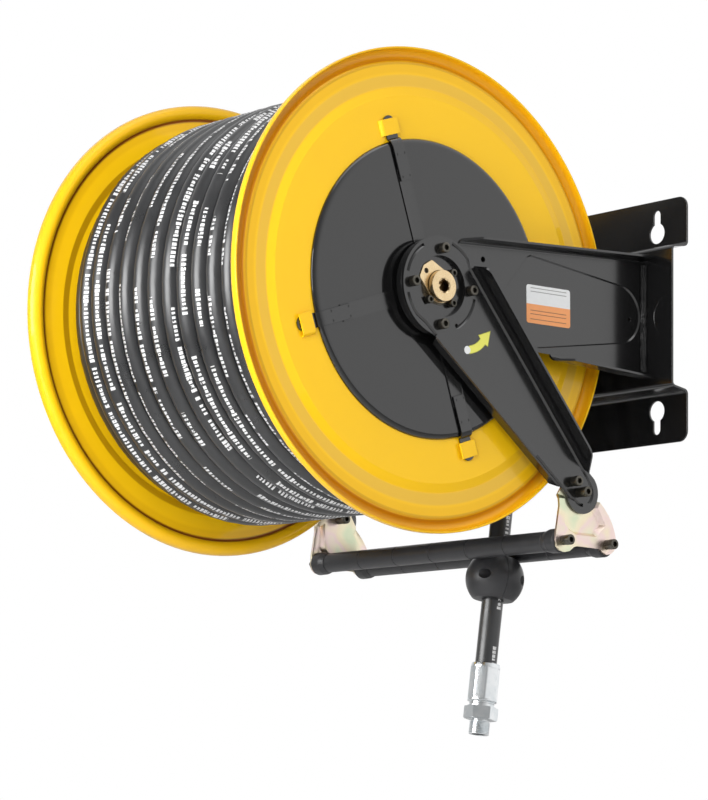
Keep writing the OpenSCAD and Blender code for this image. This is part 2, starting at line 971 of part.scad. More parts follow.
module power_spring() {
    n = spring_turns * 24;
    color(dark_steel)
        at_hub()
            plate(spring_x, spring_w)
                polygon(concat([for (i = [0:n]) spiral(i / n, spring_t / 2)],
                    [for (i = [n:-1:0]) spiral(i / n, -spring_t / 2)]));
}

module spring_case() {
    front = inner_x - seat;
    color(steel)
        at_hub()
            turned()
                polygon([[arbor_r + run_gap, case_back], [case_r, case_back], [case_r, front],
                    [case_r - sheet_t, front], [case_r - sheet_t, case_back + sheet_t],
                    [arbor_r + run_gap, case_back + sheet_t]]);
}

module spring_arbor() {
    color(dark_steel)
        at_hub()
            difference() {
                rod(case_back - 4, spring_w + 12, arbor_r, 64);
                rod(case_back - 5, spring_w + 14, shaft_r + slip, 64);
            }
}

// ---------- water way inside the drum ----------

sleeve_r = 32;
sleeve_w = 60;
seal_t = 4;
feed_r = 11;

module swivel_sleeve() {
    x = port_x - sleeve_w / 2;
    color(brass)
        at_hub()
            difference() {
                union() {
                    rod(x, sleeve_w, sleeve_r, 64);
                    translate([port_x, 0, 0])
                        cylinder(h = sleeve_r + 14, r = feed_r + 5, $fn = 48);
                }
                rod(x - 1, sleeve_w + 2, shaft_r + slip, 64);
                for (s = [-1, 1])
                    rod(port_x + s * 18 - seal_t / 2, seal_t, shaft_r + seal_t, 64);
                translate([port_x, 0, 0])
                    cylinder(h = sleeve_r + 15, r = feed_r - 3, $fn = 48);
                translate([port_x, 0, sleeve_r + 4])
                    cylinder(h = 11, r = feed_r + slip, $fn = 48);
            }
}

module swivel_seals() {
    color(rubber)
        at_hub()
            for (s = [-1, 1])
                turned()
                    translate([shaft_r + seal_t / 2 + seat / 2, port_x + s * 18])
                        circle(d = seal_t - seat - 0.1, $fn = 32);
}

module feed_pipe() {
    nut_h = 6;
    color(brass)
        at_hub()
            translate([port_x, 0, 0])
                difference() {
                    union() {
                        translate([0, 0, sleeve_r + 4 + seat])
                            cylinder(h = core_r - sleeve_r - 4 - seat - run_gap, r = feed_r,
                                $fn = 48);
                        translate([0, 0, core_r - sheet_t - nut_h - 1.5])
                            cylinder(h = nut_h, r = feed_r + 5, $fn = 6);
                    }
                    translate([0, 0, sleeve_r])
                        cylinder(h = core_r, r = feed_r - 3, $fn = 48);
                }
}

// ---------- hose on the drum ----------

// Radius at which turn u lies, counted from the far disc
function lay_r(u) = turn_r - turn_drop * pow(max(0, 1 - u / 2), 1.6);
function lay_point(u) = [turn_pitch * u - turn_x, lay_r(u) * cos(360 * u), lay_r(u) * sin(360 * u)];
function outward(u) = [0, cos(360 * u), sin(360 * u)];

lay_count = (turns - 1) * turn_steps;
lay_u = [for (i = [0:lay_count]) i / turn_steps];
lay_start = lay_point(0) - hose_d * unit(lay_point(0.01) - lay_point(0));
lay_finish = lay_point(turns - 1) + hose_d * unit(lay_point(turns - 1) - lay_point(turns - 1.01));
lay = concat([lay_start], [for (u = lay_u) lay_point(u)], [lay_finish]);
lay_refs = concat([outward(0)], [for (u = lay_u) outward(u)], [outward(turns - 1)]);
lay_gap = min([for (i = [0:len(lay) - turn_steps - 5], j = [turn_steps - 4:turn_steps + 4])
    norm(lay[i] - lay[i + j])]) - hose_d;
echo(least_gap_between_turns = lay_gap);

module hose_winding() {
    color(rubber)
        at_hub()
            tube(lay, lay_refs, hose_r, turn_sides);
}

// The layers under the outer one, as one plain body
module hose_pack() {
    far = -inner_x + seat;
    near = inner_x - seat;
    under = hose_r + 6;
    color(rubber)
        at_hub()
            difference() {
                turned()
                    polygon(concat([[core_r + seat, far], [lay_r(0) - under, far]],
                        [for (u = [0:0.5:1.5]) [lay_r(u) - under, turn_pitch * u - turn_x]],
                        [[pack_r, turn_pitch * 2.3 - turn_x], [pack_r, near],
                            [core_r + seat, near]]));
                translate([port_x, 0, 0])
                    cylinder(h = core_r + 6, r = feed_r + screw_gap, $fn = 48);
            }
}

// ---------- free hose, stop ball and hose end ----------

module hose_tail() {
    path = [for (p = lead_route) [lead_x, p[0], p[1]]];
    color(rubber)
        at_hub()
            tube(path, [for (p = path) [1, 0, 0]], hose_r, lead_sides);
}

module at_stop() {
    at_hub()
        translate([lead_x, stop_at[0], stop_at[1]])
            rotate([-stop_lean, 0, 0])
                rotate([0, 0, -stop_turn])
                    children();
}

module stop_half(s) {
    difference() {
        intersection() {
            sphere(d = stop_d, $fn = 64);
            translate([-stop_d / 2, s > 0 ? stop_seam / 2 : -stop_d / 2, -stop_h / 2])
                cube([stop_d, (stop_d - stop_seam) / 2, stop_h]);
        }
        translate([0, 0, -stop_h])
            cylinder(h = 2 * stop_h, r = hose_r + slip, $fn = 64);
        for (x = [-stop_screw_at, stop_screw_at]) {
            translate([x, 0, 0])
                rotate([90, 0, 0])
                    cylinder(h = stop_d, r = small_screw_d / 2 + screw_gap, $fn = 32,
                        center = true);
            translate([x, s * 12, 0])
                rotate([-90 * s, 0, 0])
                    cylinder(h = stop_d / 2, r = 6.5, $fn = 32);
        }
    }
}

module stop_ball_front() {
    color(plastic)
        at_stop()
            stop_half(-1);
}

module stop_ball_rear() {
    color(plastic)
        at_stop()
            stop_half(1);
}

module stop_ball_screws() {
    color(dark_steel)
        at_stop()
            for (x = [-stop_screw_at, stop_screw_at])
                translate([x, -12, 0])
                    rotate([0, 0, -90]) {
                        cap_screw(small_screw_d, stop_screw_l);
                        rod(-stop_screw_l - 5, 5, small_screw_d * 0.95, 6);
                    }
}

module at_end() {
    at_hub()
        translate([lead_x, lead_end[0], lead_end[1]])
            rotate([180 - end_lean, 0, 0])
                children();
}

// Crimped ferrule: it starts at the hose's end and carries the fitting
grip_l = 30;

module hose_ferrule() {
    color(zinc)
        at_end()
            difference() {
                translate([0, 0, -grip_l]) {
                    cylinder(h = ferrule_l - 2, d = ferrule_d, $fn = 64);
                    cylinder(h = ferrule_l, d = ferrule_d - 5, $fn = 64);
                }
                translate([0, 0, -grip_l - 1])
                    cylinder(h = grip_l + 1 + seat, r = hose_r + slip, $fn = 64);
                translate([0, 0, -1])
                    cylinder(h = ferrule_l, d = water_d, $fn = 48);
            }
}

module hose_adaptor() {
    start = ferrule_l - grip_l + seat;
    neck = 3;
    color(zinc)
        at_end()
            difference() {
                union() {
                    translate([0, 0, start])
                        cylinder(h = neck + 1, d = hex_af - 5, $fn = 64);
                    translate([0, 0, start + neck])
                        cylinder(h = hex_h, d = hex_af / cos(30), $fn = 6);
                    translate([0, 0, start + neck + hex_h])
                        cylinder(h = thread_l, d = thread_d, $fn = 64);
                }
                translate([0, 0, start - 1])
                    cylinder(h = neck + hex_h + thread_l + 2, d = water_d, $fn = 48);
            }
}

// ---------- guide rollers ----------

module roller_at(y) {
    at_hub()
        at([y, -roller_z])
            children();
}

module sleeves() {
    for (i = [0:sleeve_count - 1])
        difference() {
            rod(-sleeve_half + i * sleeve_l + run_gap / 2, sleeve_l - run_gap, roller_d / 2);
            rod(-sleeve_half + i * sleeve_l - 1, sleeve_l + 2, axle_d / 2 + slip);
        }
}

module collars() {
    for (s = ["near", "far"])
        side(s)
            turned()
                polygon([[axle_d / 2 + slip, sleeve_half + run_gap],
                    [roller_d / 2, sleeve_half + run_gap],
                    [collar_d / 2, sleeve_half + (roller_half - sleeve_half) * 0.45],
                    [collar_d / 2, roller_half], [axle_d / 2 + slip, roller_half]]);
}

module axle() {
    rod(-foot_face_x, 2 * foot_face_x, axle_d / 2);
    translate([foot_face_x, 0, 0])
        cap_screw(screw_d, 1, 6.5);
    rod(-foot_face_x - screw_d, screw_d, 0.85 * axle_d, 6);
}

module roller_front_sleeves() {
    color(plastic)
        roller_at(front_y)
            sleeves();
}

module roller_front_collars() {
    color(plastic)
        roller_at(front_y)
            collars();
}

module roller_rear_sleeves() {
    color(plastic)
        roller_at(rear_y)
            sleeves();
}

module roller_rear_collars() {
    color(plastic)
        roller_at(rear_y)
            collars();
}

module roller_axle_front() {
    color(dark_steel)
        roller_at(front_y)
            axle();
}

module roller_axle_rear() {
    color(dark_steel)
        roller_at(rear_y)
            axle();
}

module bracket() {
    top_r = 0.9 * guide_end_r;
    top = guide_end + guide_end_r * [-0.3, 0.15];
    front = [front_y, -roller_z];
    rear = [rear_y, -roller_z];
    left = touch(top, top_r, front, lobe_r, -1);
    right = touch(top, top_r, rear, lobe_r, 1);
    step_z = bracket_step_z;
    difference() {
        union() {
            // upper part, against the arm
            intersection() {
                union() {
                    at(top)
                        rod(arm_x, arm_t, top_r, 64);
                    plate(arm_x, arm_t)
                        polygon([left[0], left[1], right[1], right[0]]);
                }
                translate([arm_x, 0, step_z])
                    cube([arm_t, 2 * roller_y, roller_z]);
            }
            // foot, set out to carry the axles
            intersection() {
                union() {
                    at(front)
                        rod(foot_x, arm_t, lobe_r);
                    at(rear)
                        rod(foot_x, arm_t, lobe_r);
                    plate(foot_x, arm_t)
                        polygon([left[0], left[1], front, front - [0, 4], rear - [0, 4], rear,
                            right[1], right[0]]);
                }
                translate([foot_x, 0, -2 * roller_z])
                    cube([arm_t, 2 * roller_y, 2 * roller_z + step_z]);
            }
            // step between the two
            intersection() {
                plate(arm_x, foot_face_x - arm_x)
                    polygon([left[0], left[1], right[1], right[0]]);
                translate([arm_x, 0, step_z - arm_t])
                    cube([foot_face_x - arm_x, 2 * roller_y, 2 * arm_t]);
            }
        }
        arm_end_holes(arm_x - 1, arm_t + 2);
        for (c = [front, rear])
            at(c)
                rod(arm_x - 1, foot_face_x, axle_d / 2 + slip);
    }
}

module roller_bracket_near() {
    color(yellow_zinc)
        at_hub()
            bracket();
}

module roller_bracket_far() {
    color(yellow_zinc)
        at_hub()
            side("far")
                bracket();
}

// Two bolts at each arm's end; every head faces the near side
module arm_end_bolts() {
    long = 1.25 * screw_d;
    short = 0.45 * screw_d;
    nut_h = 0.75 * screw_d;
    color(dark_steel)
        at_hub()
            for (b = [[guide_bolt_a, short], [guide_bolt_b, long]])
                at(b[0]) {
                    translate([face_x, 0, 0]) {
                        cap_screw(screw_d, 2 * arm_t + nut_h, b[1]);
                        rod(-2 * arm_t - nut_h, nut_h, 0.8 * screw_d, 6);
                    }
                    translate([-arm_x, 0, 0]) {
                        cap_screw(screw_d, 2 * arm_t + nut_h, b[1]);
                        rod(-2 * arm_t - nut_h, nut_h, 0.8 * screw_d, 6);
                    }
                }
}

// ---------- latch ----------

module ratchet_ring() {
    root_r = ratchet_r - tooth_h;
    teeth = [for (k = [0:tooth_count - 1])
        let (a = tooth_face - tooth_step * k)
        each [polar(root_r, a), polar(ratchet_r, a)]];
    color(dark_steel)
        at_hub()
            side("far")
                difference() {
                    plate(ratchet_x, ratchet_t)
                        polygon(teeth);
                    rod(ratchet_x - 1, ratchet_t + 2, root_r - 10, 96);
                }
}

module pawl() {
    tip = polar(pawl_tip_r, pawl_tip_angle);
    toe_a = polar(pawl_tip_r, pawl_tip_angle - 1.6);
    toe_b = polar(pawl_tip_r, pawl_tip_angle + 1.6);
    heel = pin_d / 2 + 5;
    color(dark_steel)
        at_hub()
            side("far")
                difference() {
                    union() {
                        at(pawl_at)
                            rod(ratchet_x, ratchet_t, heel);
                        plate(ratchet_x, ratchet_t)
                            polygon([toe_a, toe_b, pawl_at + polar(heel, 165),
                                pawl_at + polar(heel, -40), tip + [14, -4]]);
                    }
                    at(pawl_at)
                        rod(ratchet_x - 1, ratchet_t + 2, pin_d / 2 + slip);
                }
}

module pawl_pin() {
    color(steel)
        at_hub()
            side("far")
                at(pawl_at) {
                    rod(ratchet_x - seat, guide_x - ratchet_x + seat, pin_d / 2);
                    rod(ratchet_x + ratchet_t + run_gap, 1.2, pin_d / 2 + 2);
                }
}

coil_r = pin_d / 2 + 1.3;
coil_wire = 0.6;
coil_turns = 4;
coil_x0 = ratchet_x + ratchet_t + run_gap + 2.2;
coil_pitch = (arm_x - coil_x0 - 1.2) / coil_turns;

module pawl_spring() {
    count = coil_turns * 8;
    path = [for (i = [0:count]) let (a = 45 * i)
        [coil_x0 + coil_pitch * i / 8, coil_r * cos(a), coil_r * sin(a)]];
    refs = [for (i = [0:count]) [0, cos(45 * i), sin(45 * i)]];
    color(steel)
        at_hub()
            side("far")
                at(pawl_at)
                    tube(path, refs, coil_wire, 6);
}

wall_plate();
wall_arm_near();
wall_arm_far();
weld_seams();
guide_arm_near();
guide_arm_far();
hub_plate_near();
hub_plate_far();
hub_screws_near();
hub_screws_far();
flange_screws_near();
flange_screws_far();
fixed_shaft();
end_plug();
inlet_port();
bearing_inner_rings();
spring_arbor();
roller_bracket_near();
roller_bracket_far();
arm_end_bolts();
roller_axle_front();
roller_axle_rear();
pawl_pin();
pawl_spring();
hose_tail();
stop_ball_front();
stop_ball_rear();
stop_ball_screws();
hose_ferrule();
hose_adaptor();
disc_near();
disc_far();
pan_near();
pan_far();
straps_near();
straps_far();
hook_plates_near();
hook_plates_far();
drum_core();
bearing_housings();
bearing_outer_rings();
bearing_balls();
tie_rods();
spring_case();
power_spring();
ratchet_ring();
swivel_sleeve();
swivel_seals();
feed_pipe();
hose_pack();
hose_winding();
roller_front_sleeves();
roller_front_collars();
roller_rear_sleeves();
roller_rear_collars();
pawl();
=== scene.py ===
"""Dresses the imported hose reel: enamelled sheet metal, wound hose, rollers, fittings and stage."""

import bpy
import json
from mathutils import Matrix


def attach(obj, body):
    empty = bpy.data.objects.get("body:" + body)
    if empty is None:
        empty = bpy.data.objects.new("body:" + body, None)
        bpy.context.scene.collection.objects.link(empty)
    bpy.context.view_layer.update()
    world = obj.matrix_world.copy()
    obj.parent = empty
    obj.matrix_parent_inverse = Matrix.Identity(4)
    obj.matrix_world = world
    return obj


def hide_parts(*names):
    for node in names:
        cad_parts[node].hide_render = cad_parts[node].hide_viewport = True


bl_info = {
    "name": "Hose Reel Finish",
    "version": (1, 0, 0),
    "blender": (4, 5, 0),
    "location": "View3D > Sidebar > Hose Reel",
    "description": "Models and paints the visible pieces of a wall mounted hose reel round its solids",
    "category": "Object",
}

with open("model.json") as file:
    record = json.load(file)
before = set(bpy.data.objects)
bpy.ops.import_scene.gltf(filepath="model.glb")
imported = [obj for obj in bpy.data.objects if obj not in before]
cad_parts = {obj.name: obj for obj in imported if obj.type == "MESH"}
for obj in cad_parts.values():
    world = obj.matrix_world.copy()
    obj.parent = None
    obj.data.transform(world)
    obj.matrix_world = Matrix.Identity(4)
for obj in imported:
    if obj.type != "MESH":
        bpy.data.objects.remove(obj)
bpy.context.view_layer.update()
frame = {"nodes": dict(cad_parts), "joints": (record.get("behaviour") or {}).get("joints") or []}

import json
import math

import bpy
from mathutils import Matrix, Vector

MM = 0.001
AXES = {j["name"]: Vector(j["pos_m"]) for j in frame["joints"]}
HUB = AXES["drum_spin"]

# From here on, places are millimetres from the drum's middle, as in the solids, and turns are
# degrees round the drum's axis from +Y towards +Z

# Faces of the near end's sheets along X, and how thick the pressed ones are
INNER_X, DISC_X = 210, 212
RING_IN_X, RING_X = 207, 209
PAN_X, SPACER_X, ARM_X, GUIDE_X, FACE_X = 218, 222, 232, 235, 238
SHEET = 3

# The discs: their bore, the step down to the ring, the ring, and the channel of the rim
DISC_BORE_R, STEP_R, RING_R = 52, 239, 250
CHANNEL_R, CHANNEL_X, CHANNEL_IN, CHANNEL_OUT = 290.5, 209, 6.8, 9.5
STRAP_TURNS = [19, 109, 199, 289]

# The arms: their heads round the axis, the guide arms' other end, how much their lower edge is
# set in, the flanges and the label
HEAD_R, HEAD_BORE_R = 62, 38
SCREW_R, SCREW_TURNS = 47, [0, 90, 180, 270]
GUIDE_END, GUIDE_END_R = (239.54, -231.32), 27.5
LOW_INSET, FLANGE = 6, 25.5
LABEL_AT, LABEL_TURN = (183.2, -1.1), 1

# The hose and its water way, its winding, and its free end on top of the winding
HOSE_R, WATER_R = 14, 8.5
TURN_R, TURN_X, PITCH, TURNS = 252, 192, 29.538, 14
LEAD_X, LEAD_R = 73, 282.5

# The guide rollers, and the free end's points from between them down to the ferrule
AXLE_R, LOOSE_R, ROLLER_R, SLEEVE = 5, 5.1, 13, 71
ROLLERS = {spot: (AXES[spot + "_roller_spin"] - HUB) / MM for spot in ("front", "rear")}
ROLLER_MID = (ROLLERS["front"] + ROLLERS["rear"]).yz / 2
DROPS = [
    ROLLER_MID + Vector(p)
    for p in ((8.5, 17), (1.5, -36), (-3.5, -75), (-9, -117), (-16.5, -176))
]


# ---------- places ----------

# How near counts as there: in millimetres beside a point or a line, and in metres along X
NEAR, FLAT = 0.2, 1e-5


def from_hub(x, y, z):
    """The point that lies that many millimetres from the drum's middle."""
    return HUB + Vector((x, y, z)) * MM


def polar(radius, angle):
    """The point at a radius and an angle in degrees."""
    return radius * math.cos(math.radians(angle)), radius * math.sin(math.radians(angle))


def oval(centre, wide, high, start, end, count):
    """Points of an ellipse round a centre, from one angle to another."""
    step = (end - start) / count
    turns = [math.radians(start + step * i) for i in range(count + 1)]
    return [(centre[0] + wide * math.cos(t), centre[1] + high * math.sin(t)) for t in turns]


def arc(centre, radius, start, end, count):
    """Points of a circle round a centre, from one angle to another."""
    return oval(centre, radius, radius, start, end, count)


def touch(near_r, far_r, side):
    """Both ends of the line that touches a circle on the axis and one on the guide arm's end."""
    reach = math.hypot(*GUIDE_END)
    turn = math.atan2(GUIDE_END[1], GUIDE_END[0]) + side * math.acos((near_r - far_r) / reach)
    out = Vector((math.cos(turn), math.sin(turn)))
    return out * near_r, Vector(GUIDE_END) + out * far_r


def along(line, run):
    """The point that many millimetres along a line."""
    a, b = Vector(line[0]), Vector(line[1])
    return tuple(a + (b - a).normalized() * run)


def between(a, b, share):
    """The point at a share of the way from a to b."""
    return tuple(Vector(a) + (Vector(b) - Vector(a)) * share)


def lean(a, b):
    """How many degrees the line from a down to b is off the vertical."""
    way = a - b
    return math.degrees(math.atan2(way.x, way.y))


def on_line(point, line):
    """Whether a point of a mesh lies on a line in (y, z), or just past its ends."""
    start, end = Vector(line[0]), Vector(line[1])
    way = (end - start).normalized()
    flat = point.yz / MM - start
    run = flat.dot(way)
    aside = (flat - way * run).length
    return aside < NEAR and -2 * NEAR < run < (end - start).length + 2 * NEAR


def rounded(corners, count=4):
    """The outline through (a, b, radius) corners, with each corner rounded to its radius."""
    points = []
    for i, (a, b, radius) in enumerate(corners):
        here = Vector((a, b))
        before = Vector(corners[i - 1][:2]) - here
        after = Vector(corners[(i + 1) % len(corners)][:2]) - here
        if radius <= 0:
            points.append((a, b))
            continue
        half = before.angle(after) / 2
        reach = radius / math.tan(half)
        inward = (before.normalized() + after.normalized()).normalized()
        middle = here + inward * (radius / math.sin(half))
        first = here + before.normalized() * reach - middle
        last = here + after.normalized() * reach - middle
        turn = first.angle_signed(last)
        for k in range(count + 1):
            points.append(tuple(middle + Matrix.Rotation(-turn * k / count, 2) @ first))
    return points


# ---------- modelling by hand ----------


def take(piece):
    """Leaves edit mode and makes one piece the only selected one."""
    if bpy.context.object and bpy.context.object.mode == "EDIT":
        bpy.ops.object.mode_set(mode="OBJECT")
    bpy.ops.object.select_all(action="DESELECT")
    if piece:
        piece.select_set(True)
        bpy.context.view_layer.objects.active = piece


def edit(piece, kind="VERT"):
    """Opens a piece in edit mode with all of it selected."""
    take(piece)
    bpy.ops.object.mode_set(mode="EDIT")
    bpy.ops.mesh.select_mode(type=kind)
    bpy.ops.mesh.select_all(action="SELECT")


def choose(piece, kind, test):
    """Opens a piece in edit mode with only what passes a test of its place selected."""
    take(piece)
    mesh = piece.data
    for group in (mesh.vertices, mesh.edges, mesh.polygons):
        group.foreach_set("select", [False] * len(group))
    if kind == "VERT":
        for v in mesh.vertices:
            v.select = test(v.co)
    elif kind == "EDGE":
        for e in mesh.edges:
            a, b = (mesh.vertices[i].co for i in e.vertices)
            e.select = test(a, b)
    else:
        for f in mesh.polygons:
            f.select = test(f.center, f.normal)
    bpy.context.tool_settings.mesh_select_mode = [kind == k for k in ("VERT", "EDGE", "FACE")]
    bpy.ops.object.mode_set(mode="EDIT")


def close_up(piece):
    """Merges doubles and turns the faces outward."""
    edit(piece)
    merge()
    bpy.ops.mesh.normals_make_consistent(inside=False)
    take(piece)


def push(x=0.0, y=0.0, z=0.0):
    """Moves what is selected."""
    bpy.ops.transform.translate(value=(x * MM, y * MM, z * MM))


def extrude(x=0.0, y=0.0, z=0.0):
    """Extrudes what is selected."""
    bpy.ops.mesh.extrude_region_move(TRANSFORM_OT_translate={"value": (x * MM, y * MM, z * MM)})


def bevel(radius, segments, kind):
    bpy.ops.mesh.bevel(offset=radius * MM, segments=segments, affect=kind)


def merge():
    bpy.ops.mesh.remove_doubles(threshold=1e-6)


def apply_place():
    bpy.ops.object.transform_apply(location=True, rotation=True, scale=True)


def discard(*pieces):
    for piece in pieces:
        bpy.data.objects.remove(piece)


def draw(name, points, closed=True):
    """A line through points in millimetres, drawn by extruding a vertex, and left in edit mode."""
    take(None)
    bpy.ops.mesh.primitive_plane_add(size=0.01, location=(0, 0, 0))
    piece = bpy.context.object
    piece.name = piece.data.name = name
    edit(piece)
    bpy.ops.mesh.merge(type="CENTER")
    push(*points[0])
    path = [Vector(p) for p in points] + ([Vector(points[0])] if closed else [])
    for a, b in zip(path, path[1:]):
        bpy.ops.mesh.extrude_region_move(TRANSFORM_OT_translate={"value": (b - a) * MM})
    bpy.ops.mesh.select_all(action="SELECT")
    merge()
    return piece


def turned(name, profile, steps, closed=True):
    """A profile of (radius, x) turned about the X axis."""
    piece = draw(name, [(x, 0, r) for r, x in profile], closed)
    bpy.ops.mesh.spin(steps=steps, angle=math.tau, center=(0, 0, 0), axis=(1, 0, 0))
    close_up(piece)
    return piece


def plate(name, outline, x, thick):
    """An outline in (y, z) filled and extruded along X."""
    piece = skin(name, outline, x)
    extrude(thick)
    close_up(piece)
    return piece


def skin(name, outline, x):
    """An outline in (y, z) filled as one face, left in edit mode."""
    piece = draw(name, [(x, y, z) for y, z in outline])
    bpy.ops.mesh.edge_face_add()
    return piece


def rod(name, x0, x1, radius, sides, turn=0.0, y=0.0, z=0.0):
    """A cylinder along X, used as a start or as a drill."""
    take(None)
    bpy.ops.mesh.primitive_cylinder_add(
        vertices=sides,
        radius=radius * MM,
        depth=(x1 - x0) * MM,
        location=((x0 + x1) / 2 * MM, y * MM, z * MM),
        rotation=(0, math.pi / 2, 0),
    )
    piece = bpy.context.object
    piece.name = piece.data.name = name
    bpy.ops.object.transform_apply(location=False, rotation=True, scale=True)
    piece.rotation_euler.x = math.radians(turn)
    apply_place()
    return piece


def hexagon_rod(name, x0, x1, flats, turn):
    """A hexagonal bar along X, by its width across flats."""
    return rod(name, x0, x1, flats / math.sqrt(3), 6, turn)


def modify(piece, kind, **settings):
    """Adds a modifier and applies it."""
    take(piece)
    modifier = piece.modifiers.new(kind.lower(), kind)
    for key, value in settings.items():
        setattr(modifier, key, value)
    bpy.ops.object.modifier_apply(modifier=modifier.name)


def carve(piece, *tools, how="DIFFERENCE"):
    """Cuts tools out of a piece, or joins them to it, and removes them."""
    for tool in tools:
        modify(piece, "BOOLEAN", operation=how, object=tool, solver="EXACT")
        discard(tool)


def groove(line, x, half=2.2, deep=2.1):
    """A drill with a V section along a line in (y, z), for a crease in the face at X = x."""
    line = [Vector(p) for p in line]
    proud = 0.5
    rails = []
    for side, level in ((-1, proud), (0, -deep), (1, proud)):
        reach = side * half * (deep + proud) / deep
        rail = []
        for i, point in enumerate(line):
            way = (line[min(i + 1, len(line) - 1)] - line[max(i - 1, 0)]).normalized()
            rail.append((x + level, *(point + Vector((-way.y, way.x)) * reach)))
        rails.append(draw("rail", rail, closed=False))
    drill = joined("groove", rails)
    edit(drill, "EDGE")
    bpy.ops.mesh.bridge_edge_loops(type="CLOSED")
    bpy.ops.mesh.select_all(action="SELECT")
    bpy.ops.mesh.fill_holes(sides=3)
    close_up(drill)
    return drill


def hollow(name, outline, x, deep, slope):
    """A drill for a sunk panel with sloping sides in the face at X = x."""
    proud = 0.4
    piece = skin(name, outline, x + proud)
    bpy.ops.mesh.inset(thickness=slope * MM, depth=0)
    push(-deep - proud)
    edit(piece)
    bpy.ops.mesh.select_mode(type="EDGE")
    bpy.ops.mesh.select_all(action="DESELECT")
    bpy.ops.mesh.select_non_manifold()
    bpy.ops.mesh.edge_face_add()
    close_up(piece)
    return piece


def thicken(piece, thick):
    """Gives a sheet its thickness, half to each side."""
    edit(piece)
    bpy.ops.mesh.normals_make_consistent(inside=False)
    modify(piece, "SOLIDIFY", thickness=thick * MM, offset=0)


def place(piece, move=(0, 0, 0), turn_x=0.0, turn_z=0.0):
    """Turns a piece about the origin, then moves it, in its mesh."""
    take(piece)
    piece.matrix_world = (
        Matrix.Translation(Vector(move) * MM)
        @ Matrix.Rotation(math.radians(turn_x), 4, "X")
        @ Matrix.Rotation(math.radians(turn_z), 4, "Z")
    )
    apply_place()
    return piece


def quarter(piece, axis, turns=1, move=(0, 0, 0)):
    """Gives a shape quarter turns about one axis, then moves it, in its mesh."""
    take(piece)
    piece.rotation_euler["XYZ".index(axis)] = turns * math.pi / 2
    piece.location = Vector(move) * MM
    apply_place()
    return piece


def copy(piece, name, move=(0, 0, 0), turn_x=0.0):
    """A copy with its own mesh, turned and moved."""
    take(piece)
    bpy.ops.object.duplicate(linked=False)
    twin = bpy.context.object
    twin.name = twin.data.name = name
    return place(twin, move, turn_x)


def flipped(piece, name):
    """A copy on the other side of the middle plane."""
    twin = copy(piece, name)
    twin.scale.x = -1
    apply_place()
    edit(twin)
    bpy.ops.mesh.normals_make_consistent(inside=False)
    take(twin)
    return twin


def other_side(piece, name):
    """A piece moved to the other side of the middle plane, as its mirror image."""
    twin = flipped(piece, name)
    discard(piece)
    return twin


def joined(name, pieces):
    """Several shapes as one piece."""
    take(pieces[0])
    for p in pieces[1:]:
        p.select_set(True)
    if len(pieces) > 1:
        bpy.ops.object.join()
    piece = bpy.context.object
    piece.name = piece.data.name = name
    return piece


def soften(piece, width):
    """Rounds the sharp edges and smooths the shading over them."""
    limit = math.radians(40)
    modify(piece, "BEVEL", width=width * MM, segments=2, limit_method="ANGLE", angle_limit=limit)
    smooth(piece, 50)


def smooth(piece, angle):
    """Smooth shading, with edges sharper than an angle kept."""
    take(piece)
    if piece.data.has_custom_normals:
        bpy.ops.mesh.customdata_custom_splitnormals_clear()
    bpy.ops.object.shade_smooth_by_angle(angle=math.radians(angle))
    modify(piece, "WEIGHTED_NORMAL", keep_sharp=True, weight=80)


def fit(piece, body, paint, nodes=(), hub=True):
    """Moves a piece from the drum's middle to its place, paints it and makes it ride on a body."""
    take(piece)
    if hub:
        piece.location = HUB
        apply_place()
    if not piece.data.materials:
        piece.data.materials.append(paint)
    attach(piece, body)
    if nodes:
        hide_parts(*nodes)


def fit_ends(near, body, paint, node):
    """Fits a piece of the near end, and its mirror image at the far end."""
    far = flipped(near, near.name.replace("near", "far"))
    fit(near, body, paint, [node + "_near"])
    fit(far, body, paint, [node + "_far"])


# ---------- materials ----------


class Wire:
    """A socket that takes part in sums."""

    def __init__(self, nodes, socket):
        self.nodes, self.socket = nodes, socket

    def __add__(self, other):
        return self.nodes.maths("ADD", self, other)

    def __sub__(self, other):
        return self.nodes.maths("SUBTRACT", self, other)

    def __rsub__(self, other):
        return self.nodes.maths("SUBTRACT", other, self)

    def __mul__(self, other):
        return self.nodes.maths("MULTIPLY", self, other)

    def __truediv__(self, other):
        return self.nodes.maths("DIVIDE", self, other)

    def __rtruediv__(self, other):
        return self.nodes.maths("DIVIDE", other, self)

    def __gt__(self, other):
        return self.nodes.maths("GREATER_THAN", self, other)

    def __lt__(self, other):
        return self.nodes.maths("LESS_THAN", self, other)

    __radd__, __rmul__ = __add__, __mul__


class Nodes:
    """A node tree that is being laid."""

    def __init__(self, tree):
        self.tree = tree

    def node(self, kind, settings=None, sockets=None, output=0):
        """Adds a node with its settings and the values or links of its sockets."""
        made = self.tree.nodes.new(kind)
        for key, value in (settings or {}).items():
            if key == "stops":
                ramp = made.color_ramp
                while len(ramp.elements) < len(value):
                    ramp.elements.new(1)
                for element, (position, colour) in zip(ramp.elements, value):
                    element.position, element.color = position, (*colour, 1)
            else:
                setattr(made, key, value)
        for key, value in (sockets or {}).items():
            self.plug(made.inputs[key], value)
        return Wire(self, made.outputs[output])

    def plug(self, socket, value):
        if isinstance(value, Wire):
            self.tree.links.new(value.socket, socket)
        else:
            socket.default_value = value

    def maths(self, how, *values):
        return self.node("ShaderNodeMath", {"operation": how}, dict(enumerate(values)))

    def part(self, vector, axis):
        return self.node("ShaderNodeSeparateXYZ", None, {0: vector}, output=axis)

    def level(self, value, low, high, to_low, to_high, how="LINEAR"):
        """A value moved from one span to another, and held inside it."""
        sockets = {0: value, 1: low, 2: high, 3: to_low, 4: to_high}
        return self.node("ShaderNodeMapRange", {"interpolation_type": how}, sockets)


